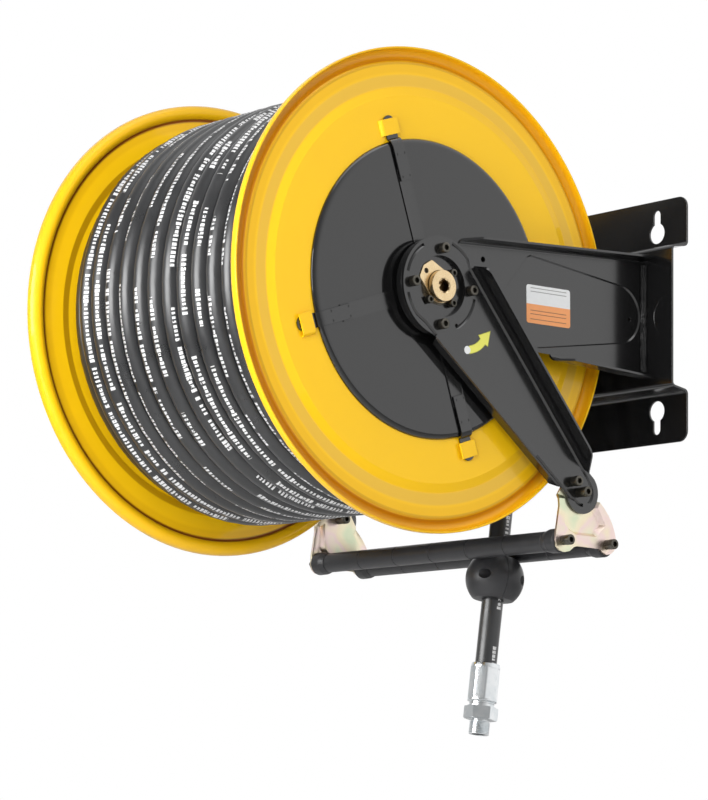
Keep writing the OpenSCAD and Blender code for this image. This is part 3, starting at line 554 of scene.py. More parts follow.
class Paint(Nodes):
    """A material whose nodes are being laid."""

    def __init__(self, name, **constants):
        self.material = bpy.data.materials.new(name)
        self.material.use_nodes = True
        super().__init__(self.material.node_tree)
        self.shader = self.tree.nodes["Principled BSDF"]
        for key, value in constants.items():
            self.shader.inputs[key.replace("_", " ")].default_value = value

    def set(self, socket, value):
        self.plug(self.shader.inputs[socket], value)

    def spot(self):
        """The place on the piece."""
        return self.node("ShaderNodeTexCoord", output="Object")

    def aside(self, spot, y=0.0, z=0.0):
        """How many millimetres a place is off the point (y, z), along Y and along Z."""
        across = self.part(spot, "Y") - (HUB.y + y * MM)
        up = self.part(spot, "Z") - (HUB.z + z * MM)
        return across / MM, up / MM

    def length(self, a, b):
        return self.maths("SQRT", a * a + b * b)

    def noise(self, vector, scale, detail=3.0, rough=0.5):
        return self.node("ShaderNodeTexNoise", None, {0: vector, 2: scale, 3: detail, 4: rough})

    def spread(self, noise, low, high):
        """A noise, which keeps near its middle, opened to a span."""
        return self.level(noise, 0.3, 0.7, low, high)

    def band(self, value, rise, fall):
        """1 between the two values of a rise and those of a fall, and 0 outside them."""
        return self.level(value, *rise, 0, 1) * self.level(value, *fall, 1, 0)

    def chance(self, value, cell):
        """A random level for each cell of a value."""
        step = self.maths("FLOOR", value / cell)
        return self.node("ShaderNodeTexWhiteNoise", {"noise_dimensions": "1D"}, {"W": step})

    def mix(self, share, first, second):
        """Two colours, or sockets that carry one, mixed by a share."""
        first, second = ((*c, 1) if isinstance(c, tuple) else c for c in (first, second))
        sockets = {0: share, 6: first, 7: second}
        return self.node("ShaderNodeMix", {"data_type": "RGBA"}, sockets, output=2)

    def bump(self, height, strength, distance):
        sockets = {"Height": height, "Strength": strength, "Distance": distance * MM}
        self.set("Normal", self.node("ShaderNodeBump", None, sockets))


def shade(colour, share):
    """A colour made darker or lighter."""
    return tuple(c * share for c in colour)


def enamel(name, colour, depth, rough, shine, shade_colour=None):
    """Glossy stoved enamel: faint orange peel, dust, slow changes of depth, and, given a shade colour,
    painted shade and a painted reflection on the discs.
    """
    paint = Paint(name, IOR=1.5, **shine)
    spot = paint.spot()
    cloud = paint.noise(spot, 9.0, 4.0)
    dust = paint.noise(spot, 420.0, 2.0)
    tone = paint.mix(cloud, shade(colour, 1 - depth), shade(colour, 1 + depth))
    # the discs' shade and reflection are painted into the colour by radius
    if shade_colour:
        tone = paint_disc_shade(paint, spot, tone, shade_colour)
    paint.set("Base Color", tone)
    paint.set("Roughness", paint.spread(cloud, rough - 0.03, rough + 0.03) + dust * 0.03)
    paint.bump(paint.noise(spot, 260.0, 1.5), 0.03, 0.5)
    return paint.material


def paint_disc_shade(paint, spot, tone, shade_colour):
    """Painted shade on the discs outside the ring, a painted tan reflection on the ring, and painted
    shade on the inner step, in the channel and along the fold.
    """
    radius = paint.length(*paint.aside(spot))
    x = paint.maths("ABSOLUTE", paint.part(spot, "X")) / MM
    middle = paint.level(radius, STEP_R, RING_R, (INNER_X + DISC_X) / 2, (RING_IN_X + RING_X) / 2)
    ring = paint.band(radius, (RING_R - 0.5, RING_R + 2), (264, 267)) * (x > middle)
    step = paint.band(radius, (STEP_R - 0.5, STEP_R + 1.5), (RING_R - 1.5, RING_R + 0.5)) * (x < middle)
    tube = paint.length(radius - CHANNEL_R, x - CHANNEL_X)
    channel = paint.level(tube, 7.4, 8.2, 1, 0) * paint.level(x, 207, 212.5, 1, 0)
    # painted shade in the channel, darker towards its inner side
    brown = paint.mix(paint.level(radius, 284, 294, 0, 1), (0.5, 0.17, 0.005), (0.84, 0.4, 0.005))
    fold = paint.length(radius - 279.9, x - 206.4)
    # painted shade outside the ring, a painted reflection on the ring, painted shade on the inner step
    # and in the channel
    tone = paint.mix(paint.level(radius, 266, 270, 0, 0.45), tone, shade_colour)
    tone = paint.mix(ring * 0.6, tone, (0.7, 0.42, 0.06))
    tone = paint.mix(step * 0.6, tone, (0.5, 0.22, 0.003))
    tone = paint.mix(channel * 0.85, tone, brown)
    # a dark line of painted shade along the fold on the hose side
    return paint.mix(paint.level(fold, 1, 3.4, 0.95, 0), tone, (0.2, 0.04, 0.004))


def hose_rubber(name, colours):
    """Wrapped rubber with fine cloth marks, and a row of plain white strokes along the hose."""
    cell, word, girth = 5.2 * MM, 47 * MM, math.tau * HOSE_R * MM
    paint = Paint(name, IOR=1.5, Specular_IOR_Level=0.85)
    spot = paint.spot()
    way = paint.node("ShaderNodeUVMap", {"uv_map": "along"})
    along, around = paint.part(way, "X"), paint.part(way, "Y")
    grain = paint.noise(spot, 700.0)
    cloud = paint.noise(spot, 30.0)
    seam = paint.maths("PINGPONG", along * 22.0 + around * 2.0, 0.5) < 0.02
    line = paint.maths("ABSOLUTE", around - 0.5)
    dash = paint.chance(along, cell)
    tall = paint.level(paint.chance(along, 2 * cell), 0.2, 0.8, 0.62, 1.0)
    fine = paint.maths("FRACT", along / cell)
    stroke = (line < tall * (colours.mark_width / girth / 2)) * (fine < 0.42 + dash * 0.4)
    stroke = stroke * (paint.chance(along, word) > 0.16) * (dash > 0.08)
    mark = stroke * (paint.noise(spot, 350.0, 2.0) > 0.36)
    black = paint.mix(cloud, shade(colours.hose, 0.8), shade(colours.hose, 1.25))
    paint.set("Base Color", paint.mix(mark * 0.92, black, tuple(colours.mark)))
    paint.set("Roughness", paint.spread(cloud, 0.24, 0.36) + grain * 0.06)
    paint.bump(grain * 0.5 - seam * 0.7 + mark * 0.2, 0.25, 0.3)
    return paint.material


def moulded(name, colour, rough, grain_scale):
    """Satin moulded plastic with a fine grain."""
    paint = Paint(name, IOR=1.47)
    spot = paint.spot()
    cloud = paint.noise(spot, 45.0)
    paint.set("Base Color", paint.mix(cloud, shade(colour, 0.8), shade(colour, 1.25)))
    paint.set("Roughness", paint.spread(cloud, rough - 0.05, rough + 0.06))
    paint.bump(paint.noise(spot, grain_scale, 2.0), 0.15, 0.2)
    return paint.material


def plated(name, colour, second, rough, scale):
    """Metal whose surface shifts between two tones."""
    paint = Paint(name, Metallic=1.0)
    spot = paint.spot()
    cloud = paint.noise(spot, scale, 4.0)
    fine = paint.noise(spot, scale * 14, 2.0)
    paint.set("Base Color", paint.mix(paint.level(cloud, 0.35, 0.65, 0, 1), colour, second))
    paint.set("Roughness", paint.spread(fine, rough - 0.05, rough + 0.08))
    paint.bump(fine, 0.08, 0.2)
    return paint.material


def chromate(name):
    """Yellow chromate on zinc: gold that slides to pink and green in patches."""
    paint = Paint(name, Metallic=1.0)
    spot = paint.spot()
    fine = paint.noise(spot, 500.0, 2.0)
    stops = [
        (0.3, (0.78, 0.84, 0.6)),
        (0.4, (0.95, 0.88, 0.64)),
        (0.5, (0.96, 0.84, 0.62)),
        (0.58, (0.95, 0.76, 0.72)),
        (0.66, (0.93, 0.84, 0.66)),
        (0.76, (0.8, 0.86, 0.66)),
    ]
    drift = paint.noise(spot, 22.0, 2.0, 0.4)
    paint.set("Base Color", paint.node("ShaderNodeValToRGB", {"stops": stops}, {0: drift}))
    paint.set("Roughness", paint.spread(fine, 0.28, 0.4))
    paint.bump(fine, 0.06, 0.2)
    return paint.material


def sticker(name, colour, rules=()):
    """Printed film with a faint mottle, and thin rules at heights from the label's middle."""
    paint = Paint(name, IOR=1.45)
    spot = paint.spot()
    cloud = paint.noise(spot, 120.0)
    tone = paint.mix(cloud, shade(colour, 0.94), shade(colour, 1.04))
    if rules:
        across, up = paint.aside(spot, *LABEL_AT)
        up = up - across * math.tan(math.radians(LABEL_TURN))
        inside = (across > -31) * (across < 31)
        for height in rules:
            rule = paint.maths("ABSOLUTE", up - height) < 0.5
            tone = paint.mix(rule * inside * 0.7, tone, (0.05, 0.04, 0.035))
    paint.set("Base Color", tone)
    paint.set("Roughness", paint.spread(cloud, 0.32, 0.42))
    paint.bump(cloud, 0.04, 0.2)
    return paint.material


FINISHES = {}


def finish(name):
    """The material of that name, made the first time it is asked for."""
    colours = bpy.context.scene.reel_colours
    yellow = dict(Coat_Weight=0.45, Coat_Roughness=0.05, Coat_IOR=1.5, Specular_IOR_Level=0.2)
    black = dict(Coat_Weight=1.0, Coat_Roughness=0.16, Coat_IOR=1.75, Specular_IOR_Level=0.1)
    pan = dict(black, Coat_Roughness=0.07, Coat_IOR=1.7)
    recipes = {
        # the drum's last colour is the painted shade outside the discs' ring
        "yellow_enamel": (enamel, colours.drum, 0.03, 0.35, yellow, (0.78, 0.41, 0.004)),
        "black_enamel": (enamel, colours.arms, 0.12, 0.3, black),
        "pan_enamel": (enamel, colours.arms, 0.12, 0.3, pan),
        "hose_rubber": (hose_rubber, colours),
        "inner_rubber": (moulded, (0.03, 0.03, 0.032), 0.5, 900),
        "black_plastic": (moulded, (0.028, 0.028, 0.03), 0.36, 1400),
        "dark_steel": (plated, (0.1, 0.095, 0.08), (0.15, 0.14, 0.12), 0.34, 90),
        "bright_steel": (plated, (0.55, 0.56, 0.57), (0.66, 0.66, 0.66), 0.28, 60),
        # dark brown painted into the brass plug's hexagon socket as its shade
        "worn_socket": (plated, (0.06, 0.035, 0.015), (0.12, 0.07, 0.03), 0.4, 90),
        "brass": (plated, (0.82, 0.62, 0.36), (0.9, 0.7, 0.42), 0.26, 70),
        "white_zinc": (plated, (0.72, 0.76, 0.78), (0.84, 0.86, 0.87), 0.2, 80),
        "yellow_zinc": (chromate,),
        "label_white": (sticker, (0.78, 0.79, 0.79), (16, 20.5)),
        "label_orange": (sticker, (0.86, 0.36, 0.14), (-8, -12.5, -19)),
        "arrow_green": (sticker, (0.78, 0.76, 0.14)),
        "arrow_rim": (sticker, (0.36, 0.37, 0.05)),
    }
    if name not in FINISHES:
        maker, *values = recipes[name]
        FINISHES[name] = maker(name, *values)
    return FINISHES[name]


# ---------- repeated shapes ----------


def cap_screw(name, d, shank, spacer=0.0):
    """Socket head screw along X: it seats at X = 0, with its head towards +X."""
    head, socket, depth = 1.625 * d / 2, 0.48 * d, 0.58 * d
    top = spacer + d
    profile = [(0, -shank), (d / 2 - 0.5, -shank), (d / 2, 0.5 - shank), (d / 2, 0)]
    if spacer:
        rim = head - 0.3
        profile += [(rim - 0.2, 0), (rim, 0.2), (rim, spacer - 0.2), (rim - 0.4, spacer)]
    profile += [
        (head - 0.4, spacer + 0.01), (head, spacer + 0.5), (head, top - 0.7),
        (head - 0.15, top - 0.3), (head - 0.7, top), (0.56 * d, top), (0, top),
    ]
    piece = turned(name, profile, 36, closed=False)
    carve(piece, rod("socket", top - depth, top + 1, socket, 6, 15))
    bpy.ops.object.shade_smooth_by_angle(angle=math.radians(35))
    return piece


def hose_tube(name, points, outward, sides=16):
    """A tube along points, whose UV map gives the metres along it and the share of a turn round it."""
    radius = HOSE_R * MM
    count = len(points)
    vertices, faces, ways = [], [], []
    run = [0.0]
    for a, b in zip(points, points[1:]):
        run.append(run[-1] + (b - a).length)
    for i, (point, out) in enumerate(zip(points, outward)):
        ahead = (points[min(i + 1, count - 1)] - points[max(i - 1, 0)]).normalized()
        side = ahead.cross(out).normalized()
        up = side.cross(ahead)
        for k in range(sides):
            angle = math.tau * (k / sides - 0.5)
            vertices.append(point + radius * (math.cos(angle) * up + math.sin(angle) * side))
    for i in range(count - 1):
        for k in range(sides):
            a, b = i * sides + k, i * sides + (k + 1) % sides
            faces.append((a, b, b + sides, a + sides))
            low, high = k / sides, (k + 1) / sides
            ways += [(run[i], low), (run[i], high), (run[i + 1], high), (run[i + 1], low)]
    for first, order in ((0, 1), ((count - 1) * sides, -1)):
        faces.append(tuple(first + k for k in range(sides))[::-order])
        ways += [(run[0 if first == 0 else -1], 0.0)] * sides
    mesh = bpy.data.meshes.new(name)
    mesh.from_pydata(vertices, [], faces)
    layer = mesh.uv_layers.new(name="along")
    for loop, way in zip(layer.data, ways):
        loop.uv = way
    piece = bpy.data.objects.new(name, mesh)
    bpy.context.scene.collection.objects.link(piece)
    take(piece)
    bpy.ops.object.shade_smooth_by_angle(angle=math.radians(50))
    return piece


def curve_through(points, steps=4):
    """A smooth line through points."""
    ends = [2 * points[0] - points[1], *points, 2 * points[-1] - points[-2]]
    line = []
    for a, b, c, d in zip(ends, ends[1:], ends[2:], ends[3:]):
        for k in range(steps):
            t = k / steps
            square, cube = 2 * a - 5 * b + 4 * c - d, 3 * b - a - 3 * c + d
            line.append((2 * b + (c - a) * t + square * t**2 + cube * t**3) / 2)
    return line + [points[-1]]


# ---------- settings ----------


class ReelColours(bpy.types.PropertyGroup):
    """The colours of the reel's finishes"""

    drum: bpy.props.FloatVectorProperty(
        name="Drum enamel", description="Colour of the two discs",
        subtype="COLOR", min=0, max=1, default=(0.94, 0.55, 0.006),
    )
    arms: bpy.props.FloatVectorProperty(
        name="Arm enamel", description="Colour of the arms, the wall plate and the pans",
        subtype="COLOR", min=0, max=1, default=(0.004, 0.004, 0.0042),
    )
    hose: bpy.props.FloatVectorProperty(
        name="Hose rubber", description="Colour of the hose",
        subtype="COLOR", min=0, max=1, default=(0.014, 0.0145, 0.0155),
    )
    mark: bpy.props.FloatVectorProperty(
        name="Hose marks", description="Colour of the row of strokes along the hose",
        subtype="COLOR", min=0, max=1, default=(0.7, 0.7, 0.7),
    )
    mark_width: bpy.props.FloatProperty(
        name="Mark height", description="Height of the row of strokes along the hose",
        subtype="DISTANCE", unit="LENGTH", min=0, max=0.02, default=0.0072,
    )


class ReelStage(bpy.types.PropertyGroup):
    """The floor and the lamps"""

    floor_drop: bpy.props.FloatProperty(
        name="Floor", description="Height of the floor",
        subtype="DISTANCE", unit="LENGTH", min=-3, max=-1, default=-1.15,
    )
    key_power: bpy.props.FloatProperty(
        name="Key light", description="Power of the large front light",
        subtype="POWER", min=0, max=500, default=42,
    )


# ---------- camera and stage ----------


# In metres from the frame's origin, degrees and millimetres
CAMERA_AT = (3.00836, -2.83814, -0.69361)
CAMERA_YAW, CAMERA_PITCH, CAMERA_ROLL = 39.95017, 8.43272, 0.905475
CAMERA_LENS, CAMERA_SENSOR = 139.17, 36


class REEL_OT_camera(bpy.types.Operator):
    """Sets the camera that looks at the reel from its near end and a little from below"""

    bl_idname = "reel.camera"
    bl_label = "Camera"

    def execute(self, context):
        yaw, pitch, roll = (math.radians(a) for a in (CAMERA_YAW, CAMERA_PITCH, CAMERA_ROLL))
        level = Vector((-math.cos(yaw), math.sin(yaw), 0))
        ahead = level * math.cos(pitch) + Vector((0, 0, math.sin(pitch)))
        side = Vector((math.sin(yaw), math.cos(yaw), 0))
        over = side.cross(ahead)
        right = math.cos(roll) * side + math.sin(roll) * over
        up = math.cos(roll) * over - math.sin(roll) * side
        take(None)
        bpy.ops.object.camera_add()
        camera = context.object
        camera.name = "camera"
        turned_by = Matrix((right, up, -ahead)).transposed().to_4x4()
        camera.matrix_world = Matrix.Translation(CAMERA_AT) @ turned_by
        camera.data.lens = CAMERA_LENS
        camera.data.sensor_width = CAMERA_SENSOR
        camera.data.clip_end = 30
        context.scene.camera = camera
        return {"FINISHED"}


class REEL_OT_stage(bpy.types.Operator):
    """Lays the floor, and sets the lamps and the world"""

    bl_idname = "reel.stage"
    bl_label = "Stage"

    def execute(self, context):
        stage = context.scene.reel_stage
        take(None)
        bpy.ops.mesh.primitive_grid_add(
            x_subdivisions=8, y_subdivisions=8, size=14, location=(0, 0, stage.floor_drop)
        )
        floor = context.object
        floor.name = "floor"
        apply_place()
        paint = Paint("floor")
        cloud = paint.noise(paint.spot(), 3.0)
        paint.set("Base Color", paint.mix(cloud, (0.78, 0.78, 0.78), (0.82, 0.82, 0.82)))
        paint.set("Roughness", paint.spread(cloud, 0.55, 0.65))
        floor.data.materials.append(paint.material)
        self.lamps(stage.key_power)
        self.world(context.scene)
        context.scene.view_settings.view_transform = "Standard"
        return {"FINISHED"}

    def lamps(self, key):
        """Soft boxes all round, aimed at the drum; the gloss box only shows in what shines."""
        boxes = {
            "key_box": ((1.9, -2.5, 0.9), 1.7, 1.7, key),
            "low_box": ((1.2, -2.7, -0.85), 1.7, 1.0, key * 0.5),
            "far_box": ((0.3, -1.75, -0.1), 0.5, 0.9, key * 0.4),
            "gloss_box": ((-0.55, -3.2, 0.5), 2.4, 1.4, key * 2),
            "right_box": ((1.2, 0.35, 0.3), 0.6, 1.0, key * 0.1),
            "top_box": ((0.6, -0.5, 2.6), 2.2, 1.6, key * 0.3),
            "back_box": ((-2.8, 0.4, 0.9), 1.6, 1.6, key * 0.8),
        }
        for name, (place_at, wide, high, power) in boxes.items():
            bpy.ops.object.light_add(type="AREA", location=place_at)
            lamp = bpy.context.object
            lamp.name = name
            lamp.data.shape = "RECTANGLE"
            lamp.data.size, lamp.data.size_y = wide, high
            lamp.data.energy = power
            lamp.visible_camera = False
            lamp.visible_glossy = name in ("gloss_box", "top_box")
            lamp.visible_diffuse = name != "gloss_box"
            lamp.rotation_euler = (HUB - Vector(place_at)).to_track_quat("-Z", "Y").to_euler()

    def world(self, scene):
        """White behind the reel, in what it mirrors too, over a studio that darkens to the front."""
        scene.world = bpy.data.worlds.new("studio")
        scene.world.use_nodes = True
        nodes = Nodes(scene.world.node_tree)
        way = nodes.node("ShaderNodeTexCoord", output="Generated")
        back = nodes.level(nodes.part(way, "Y"), -0.75, 0.5, 0.35, 1.0, "SMOOTHSTEP")
        above = nodes.level(nodes.part(way, "Z"), -0.7, 0.0, 0.2, 1.0, "SMOOTHSTEP")
        strength = 0.26
        rays = (("Is Glossy Ray", back * above), ("Is Transmission Ray", 1.0), ("Is Camera Ray", 1.0))
        for ray, level in rays:
            share = nodes.node("ShaderNodeLightPath", output=ray)
            sockets = {0: share, 2: strength, 3: level}
            strength = nodes.node("ShaderNodeMix", {"data_type": "FLOAT"}, sockets)
        background = nodes.tree.nodes["Background"]
        nodes.plug(background.inputs["Color"], (1, 1, 1, 1))
        nodes.plug(background.inputs["Strength"], strength)


# ---------- hose ----------

def lay_radius(u):
    """How far the hose's middle is from the axis after so many turns; the first two lie lower."""
    return TURN_R - 2 * HOSE_R * max(0, 1 - u / 2) ** 1.6


def lay_point(u):
    return from_hub(PITCH * u - TURN_X, *polar(lay_radius(u), 360 * u))


class REEL_OT_lead(bpy.types.Operator):
    """Lays the free end of the hose from the drum's top down between the rollers"""

    bl_idname = "reel.lead"
    bl_label = "Free end of the hose"

    def execute(self, context):
        # the hose leaves the winding in a long S, then lies on it and runs off it to the rollers
        climb = ((116, 0.0), (110, 0.05), (104, 0.24), (98, 0.5), (92, 0.76), (85, 0.95))
        route = [polar(TURN_R + (LEAD_R - TURN_R) * share, angle) for angle, share in climb]
        route += [polar(LEAD_R, angle) for angle in (77, 65, 53, 41, 29, 17, 5)]
        leaves = polar(LEAD_R, -7)
        route += [between(leaves, DROPS[0], share) for share in (0, 0.25, 0.5, 0.75)]
        route += DROPS
        points = curve_through([from_hub(LEAD_X, *p) for p in route])
        lead = hose_tube("hose_lead", points, [Vector((1, 0, 0))] * len(points))
        fit(lead, "frame", finish("hose_rubber"), ["hose_tail"], hub=False)
        context.scene["lead_length"] = sum((b - a).length for a, b in zip(points, points[1:]))
        context.scene["lead_points"] = [list(p) for p in points]
        return {"FINISHED"}


class REEL_OT_winding(bpy.types.Operator):
    """Winds the outer layer of hose on the drum"""

    bl_idname = "reel.winding"
    bl_label = "Hose winding"

    def execute(self, context):
        steps = 64
        turns = [i / steps for i in range((TURNS - 1) * steps + 1)]
        points = [lay_point(u) for u in turns]
        outward = [self.print_side(u) for u in turns]
        first, last = (
            end + (end - inner).normalized() * 2 * HOSE_R * MM
            for end, inner in ((points[0], points[1]), (points[-1], points[-2]))
        )
        outward = [outward[0], *outward, outward[-1]]
        winding = hose_tube("hose_turns", [first, *points, last], outward)
        fit(winding, "drum", finish("hose_rubber"), ["hose_winding"], hub=False)
        return {"FINISHED"}

    def print_side(self, u):
        """Where the row of strokes points; it wanders from turn to turn."""
        aside = math.radians(12 + 26 * math.sin(0.9 * u + 0.6) + 10 * math.sin(2.7 * u))
        return Vector((math.sin(aside), *polar(math.cos(aside), 360 * u)))


# ---------- drum ----------


class REEL_OT_discs(bpy.types.Operator):
    """Turns the two enamelled discs with their curled rims, and raises their tongues"""

    bl_idname = "reel.discs"
    bl_label = "Discs"

    def execute(self, context):
        centre = (CHANNEL_R, CHANNEL_X)
        wall = CHANNEL_OUT - CHANNEL_IN
        outside = rounded([
            (DISC_BORE_R, DISC_X, 0), (STEP_R, DISC_X, 6), (RING_R, RING_X, 6), (281.2, RING_X, 2.4),
            (283.8, 206.5, 0),
        ])
        inside = rounded([
            (281.4, 204.6, 0), (279.6, RING_IN_X, 1), (RING_R, RING_IN_X, 6),
            (STEP_R, INNER_X, 6), (DISC_BORE_R, INNER_X, 0),
        ])
        channel = arc(centre, CHANNEL_IN, 198, 360, 14)
        lip = arc((CHANNEL_R + CHANNEL_IN + wall / 2, CHANNEL_X + 4.5), wall / 2, 180, 0, 6)
        back = arc(centre, CHANNEL_OUT, 360, 196, 18)
        profile = outside[:-1] + channel + lip + back + inside[1:]
        disc = turned("disc", profile, 128)
        tongues = [self.tongue(turn) for turn in STRAP_TURNS]
        near = joined("enamelled_disc_near", [disc, *tongues])
        smooth(near, 40)
        fit_ends(near, "drum", finish("yellow_enamel"), "disc")
        return {"FINISHED"}

    def tongue(self, turn):
        """A strip raised out of the disc on one side, open on the other."""
        line = rounded([(15.5, DISC_X - 1, 0), (13.5, 215.8, 2.5), (-12.5, 215.8, 0)])
        piece = draw("tongue", [(x, 193, z) for z, x in line], closed=False)
        extrude(y=20)
        thicken(piece, 2)
        soften(piece, 0.6)
        return place(piece, turn_x=turn)


class REEL_OT_pans(bpy.types.Operator):
    """Turns the pans and lays their straps and hook plates"""

    bl_idname = "reel.pans"
    bl_label = "Pans and straps"

    EDGE_R = 177.5

    def execute(self, context):
        foot = (self.EDGE_R, DISC_X)
        over, under = oval(foot, 8, 6, 90, 0, 8), oval(foot, 6, 4, 0, 90, 8)
        profile = [(40, 216), (40, 217.5), (40.5, PAN_X), *over, *under]
        pan = turned("pressed_pan_near", profile, 128)
        smooth(pan, 40)
        straps = self.four("pan_straps_near", self.strap())
        hooks = self.four("hook_bars_near", self.hook())
        fit_ends(pan, "drum", finish("pan_enamel"), "pan")
        fit_ends(straps, "drum", finish("black_enamel"), "straps")
        fit_ends(hooks, "drum", finish("black_enamel"), "hook_plates")
        return {"FINISHED"}

    def four(self, name, piece):
        """A piece at each strap's place."""
        made = joined(name, [copy(piece, "part", turn_x=turn) for turn in STRAP_TURNS])
        discard(piece)
        return made

    def strap(self):
        """A flat bar whose long edges are rolled over a little."""
        half = 10.5
        piece = plate("strap", [(50, -half), (150, -half), (150, half), (50, half)], PAN_X, 1.5)
        choose(piece, "FACE", lambda c, n: n.x > 0.9)
        bpy.ops.mesh.inset(thickness=1.6 * MM, depth=-0.5 * MM)
        soften(piece, 0.3)
        return piece

    def hook(self):
        """A bar that steps down over the pan's edge, with four spot welds and a round tip."""
        half, top, low, tip = 9, 220.5, 213.4, 217
        step = oval((self.EDGE_R, low), 10.2, top - low, 90, 0, 8)
        line = [(135, top), (176, top), *step[1:], (190, low), (tip, low)]
        piece = draw("hook", [(x, r, -half) for r, x in line], closed=False)
        extrude(z=2 * half)
        choose(piece, "VERT", lambda co: co.y > (tip - 0.5) * MM)
        bevel(8.4, 6, "VERTICES")
        thicken(piece, 2)
        soften(piece, 0.4)
        for y, z in ((140, -6), (140, 6), (168, -6), (168, 6)):
            carve(piece, rod("weld", 220.9, 222.2, 1.5, 12, y=y, z=z))
        smooth(piece, 40)
        return piece


class REEL_OT_core(bpy.types.Operator):
    """Turns the core that the hose lies on"""

    bl_idname = "reel.core"
    bl_label = "Hose core"

    def execute(self, context):
        end_x, bore_r, rest_r, below = 209.9, 165.1, 235, 20
        under = [(lay_radius(u) - below, PITCH * u - TURN_X) for u in (0, 0.5, 1.0, 1.5)]
        start, full = (under[0][0], -end_x), (rest_r, PITCH * 2.3 - TURN_X)
        profile = [(bore_r, -end_x), start, *under, full, (rest_r, end_x), (bore_r, end_x)]
        core = turned("hose_core", profile, 96)
        smooth(core, 40)
        fit(core, "drum", finish("inner_rubber"), ["hose_pack"])
        return {"FINISHED"}


# ---------- arms and wall plate ----------


def drill_head(piece, x):
    """The bore and the four screw holes of an arm's head."""
    carve(piece, rod("bore", x - 1, x + SHEET + 1, HEAD_BORE_R, 96))
    for turn in SCREW_TURNS:
        y, z = polar(SCREW_R, turn)
        carve(piece, rod("hole", x - 1, x + SHEET + 1, 4.3, 24, y=y, z=z))


def stand_up(piece, line, reach, start=0.0, stop=0.0):
    """Raises a flange from the sheet's edge on a line, with its free corners cut back."""
    choose(piece, "EDGE", lambda p, q: on_line(p, line) and on_line(q, line))
    extrude(reach)
    take(piece)
    a, b = Vector(line[0]), Vector(line[1])
    way = (b - a).normalized()
    top = max if reach > 0 else min
    level = top(v.co.x for v in piece.data.vertices)
    for corner, cut in ((a, start), (b, -stop)):
        if cut:
            choose(piece, "VERT", lambda co: abs(co.x - level) < FLAT
                   and (co.yz / MM - corner).length < NEAR)
            push(0, *(way * cut))
    take(piece)


def bend(piece, x, lines, radius):
    """Rounds the bends between a web at X = x and its flanges."""
    def on_bend(p, q):
        level = all(abs(co.x - x * MM) < FLAT for co in (p, q))
        return level and any(on_line(p, line) and on_line(q, line) for line in lines)

    choose(piece, "EDGE", on_bend)
    bevel(radius, 5, "EDGES")
    take(piece)


class REEL_OT_wall_arms(bpy.types.Operator):
    """Presses the two arms that carry the reel from the wall plate"""

    bl_idname = "reel.wall_arms"
    bl_label = "Wall arms"

    SUNK = 1.8

    def execute(self, context):
        top, low = ((-3.7, 60.5), (351, 81.5)), ((-2.6, -60.5), (351, -75.5))
        flange_top = between(*top, 33 / 355), between(*top, 0.9989)
        flange_low = between(*low, 0.9989), between(*low, 188.6 / 354)
        head = arc((0, 0), HEAD_R - 1.4, 266, 94, 40)
        outline = [top[0], *flange_top, *flange_low, low[0], *head[1:-1]]
        near = skin("wall_arm_sheet_near", outline, ARM_X + SHEET / 2)
        stand_up(near, flange_top, FLANGE, start=20)
        stand_up(near, flange_low, FLANGE, stop=20)
        bend(near, ARM_X + SHEET / 2, [flange_top, flange_low], 6)
        thicken(near, SHEET)
        drill_head(near, ARM_X)
        for y, z, r in ((327, 0, 2.5), (70, 43, 3.5)):
            carve(near, rod("hole", ARM_X - 2, ARM_X + 5, r, 24, y=y, z=z))
        soften(near, 0.5)
        carve(near, self.recess())
        smooth(near, 30)
        fit_ends(near, "frame", finish("black_enamel"), "wall_arm")
        self.label()
        return {"FINISHED"}

    def recess(self):
        """The shallow panel pressed into the arm's face."""
        end = [(*p, 0) for p in oval((303, 4), 42, 39.5, 90, -90, 18)]
        outline = rounded([(102.4, 7.2, 6), (147, 61, 12), *end, (162, -58, 12), (102.4, -22, 6)])
        return hollow("recess", outline, ARM_X + SHEET, self.SUNK, 2.2)

    def label(self):
        """A blank two-colour label on the near arm's sunk panel."""
        y, z = 37.7, 24.3
        face_x = ARM_X + SHEET - self.SUNK + 0.02
        outline = rounded([(-y, -z, 3.5), (y, -z, 3.5), (y, z, 3.5), (-y, z, 3.5)])
        piece = plate("rating_label", outline, face_x, 0.18)
        edit(piece)
        bpy.ops.mesh.bisect(plane_co=(0, 0, 0), plane_no=(0, 0, 1))
        take(piece)
        for name in ("label_white", "label_orange"):
            piece.data.materials.append(finish(name))
        for face in piece.data.polygons:
            face.material_index = int(face.center.z < 0)
        place(piece, (0, *LABEL_AT), turn_x=LABEL_TURN)
        fit(piece, "frame", None)


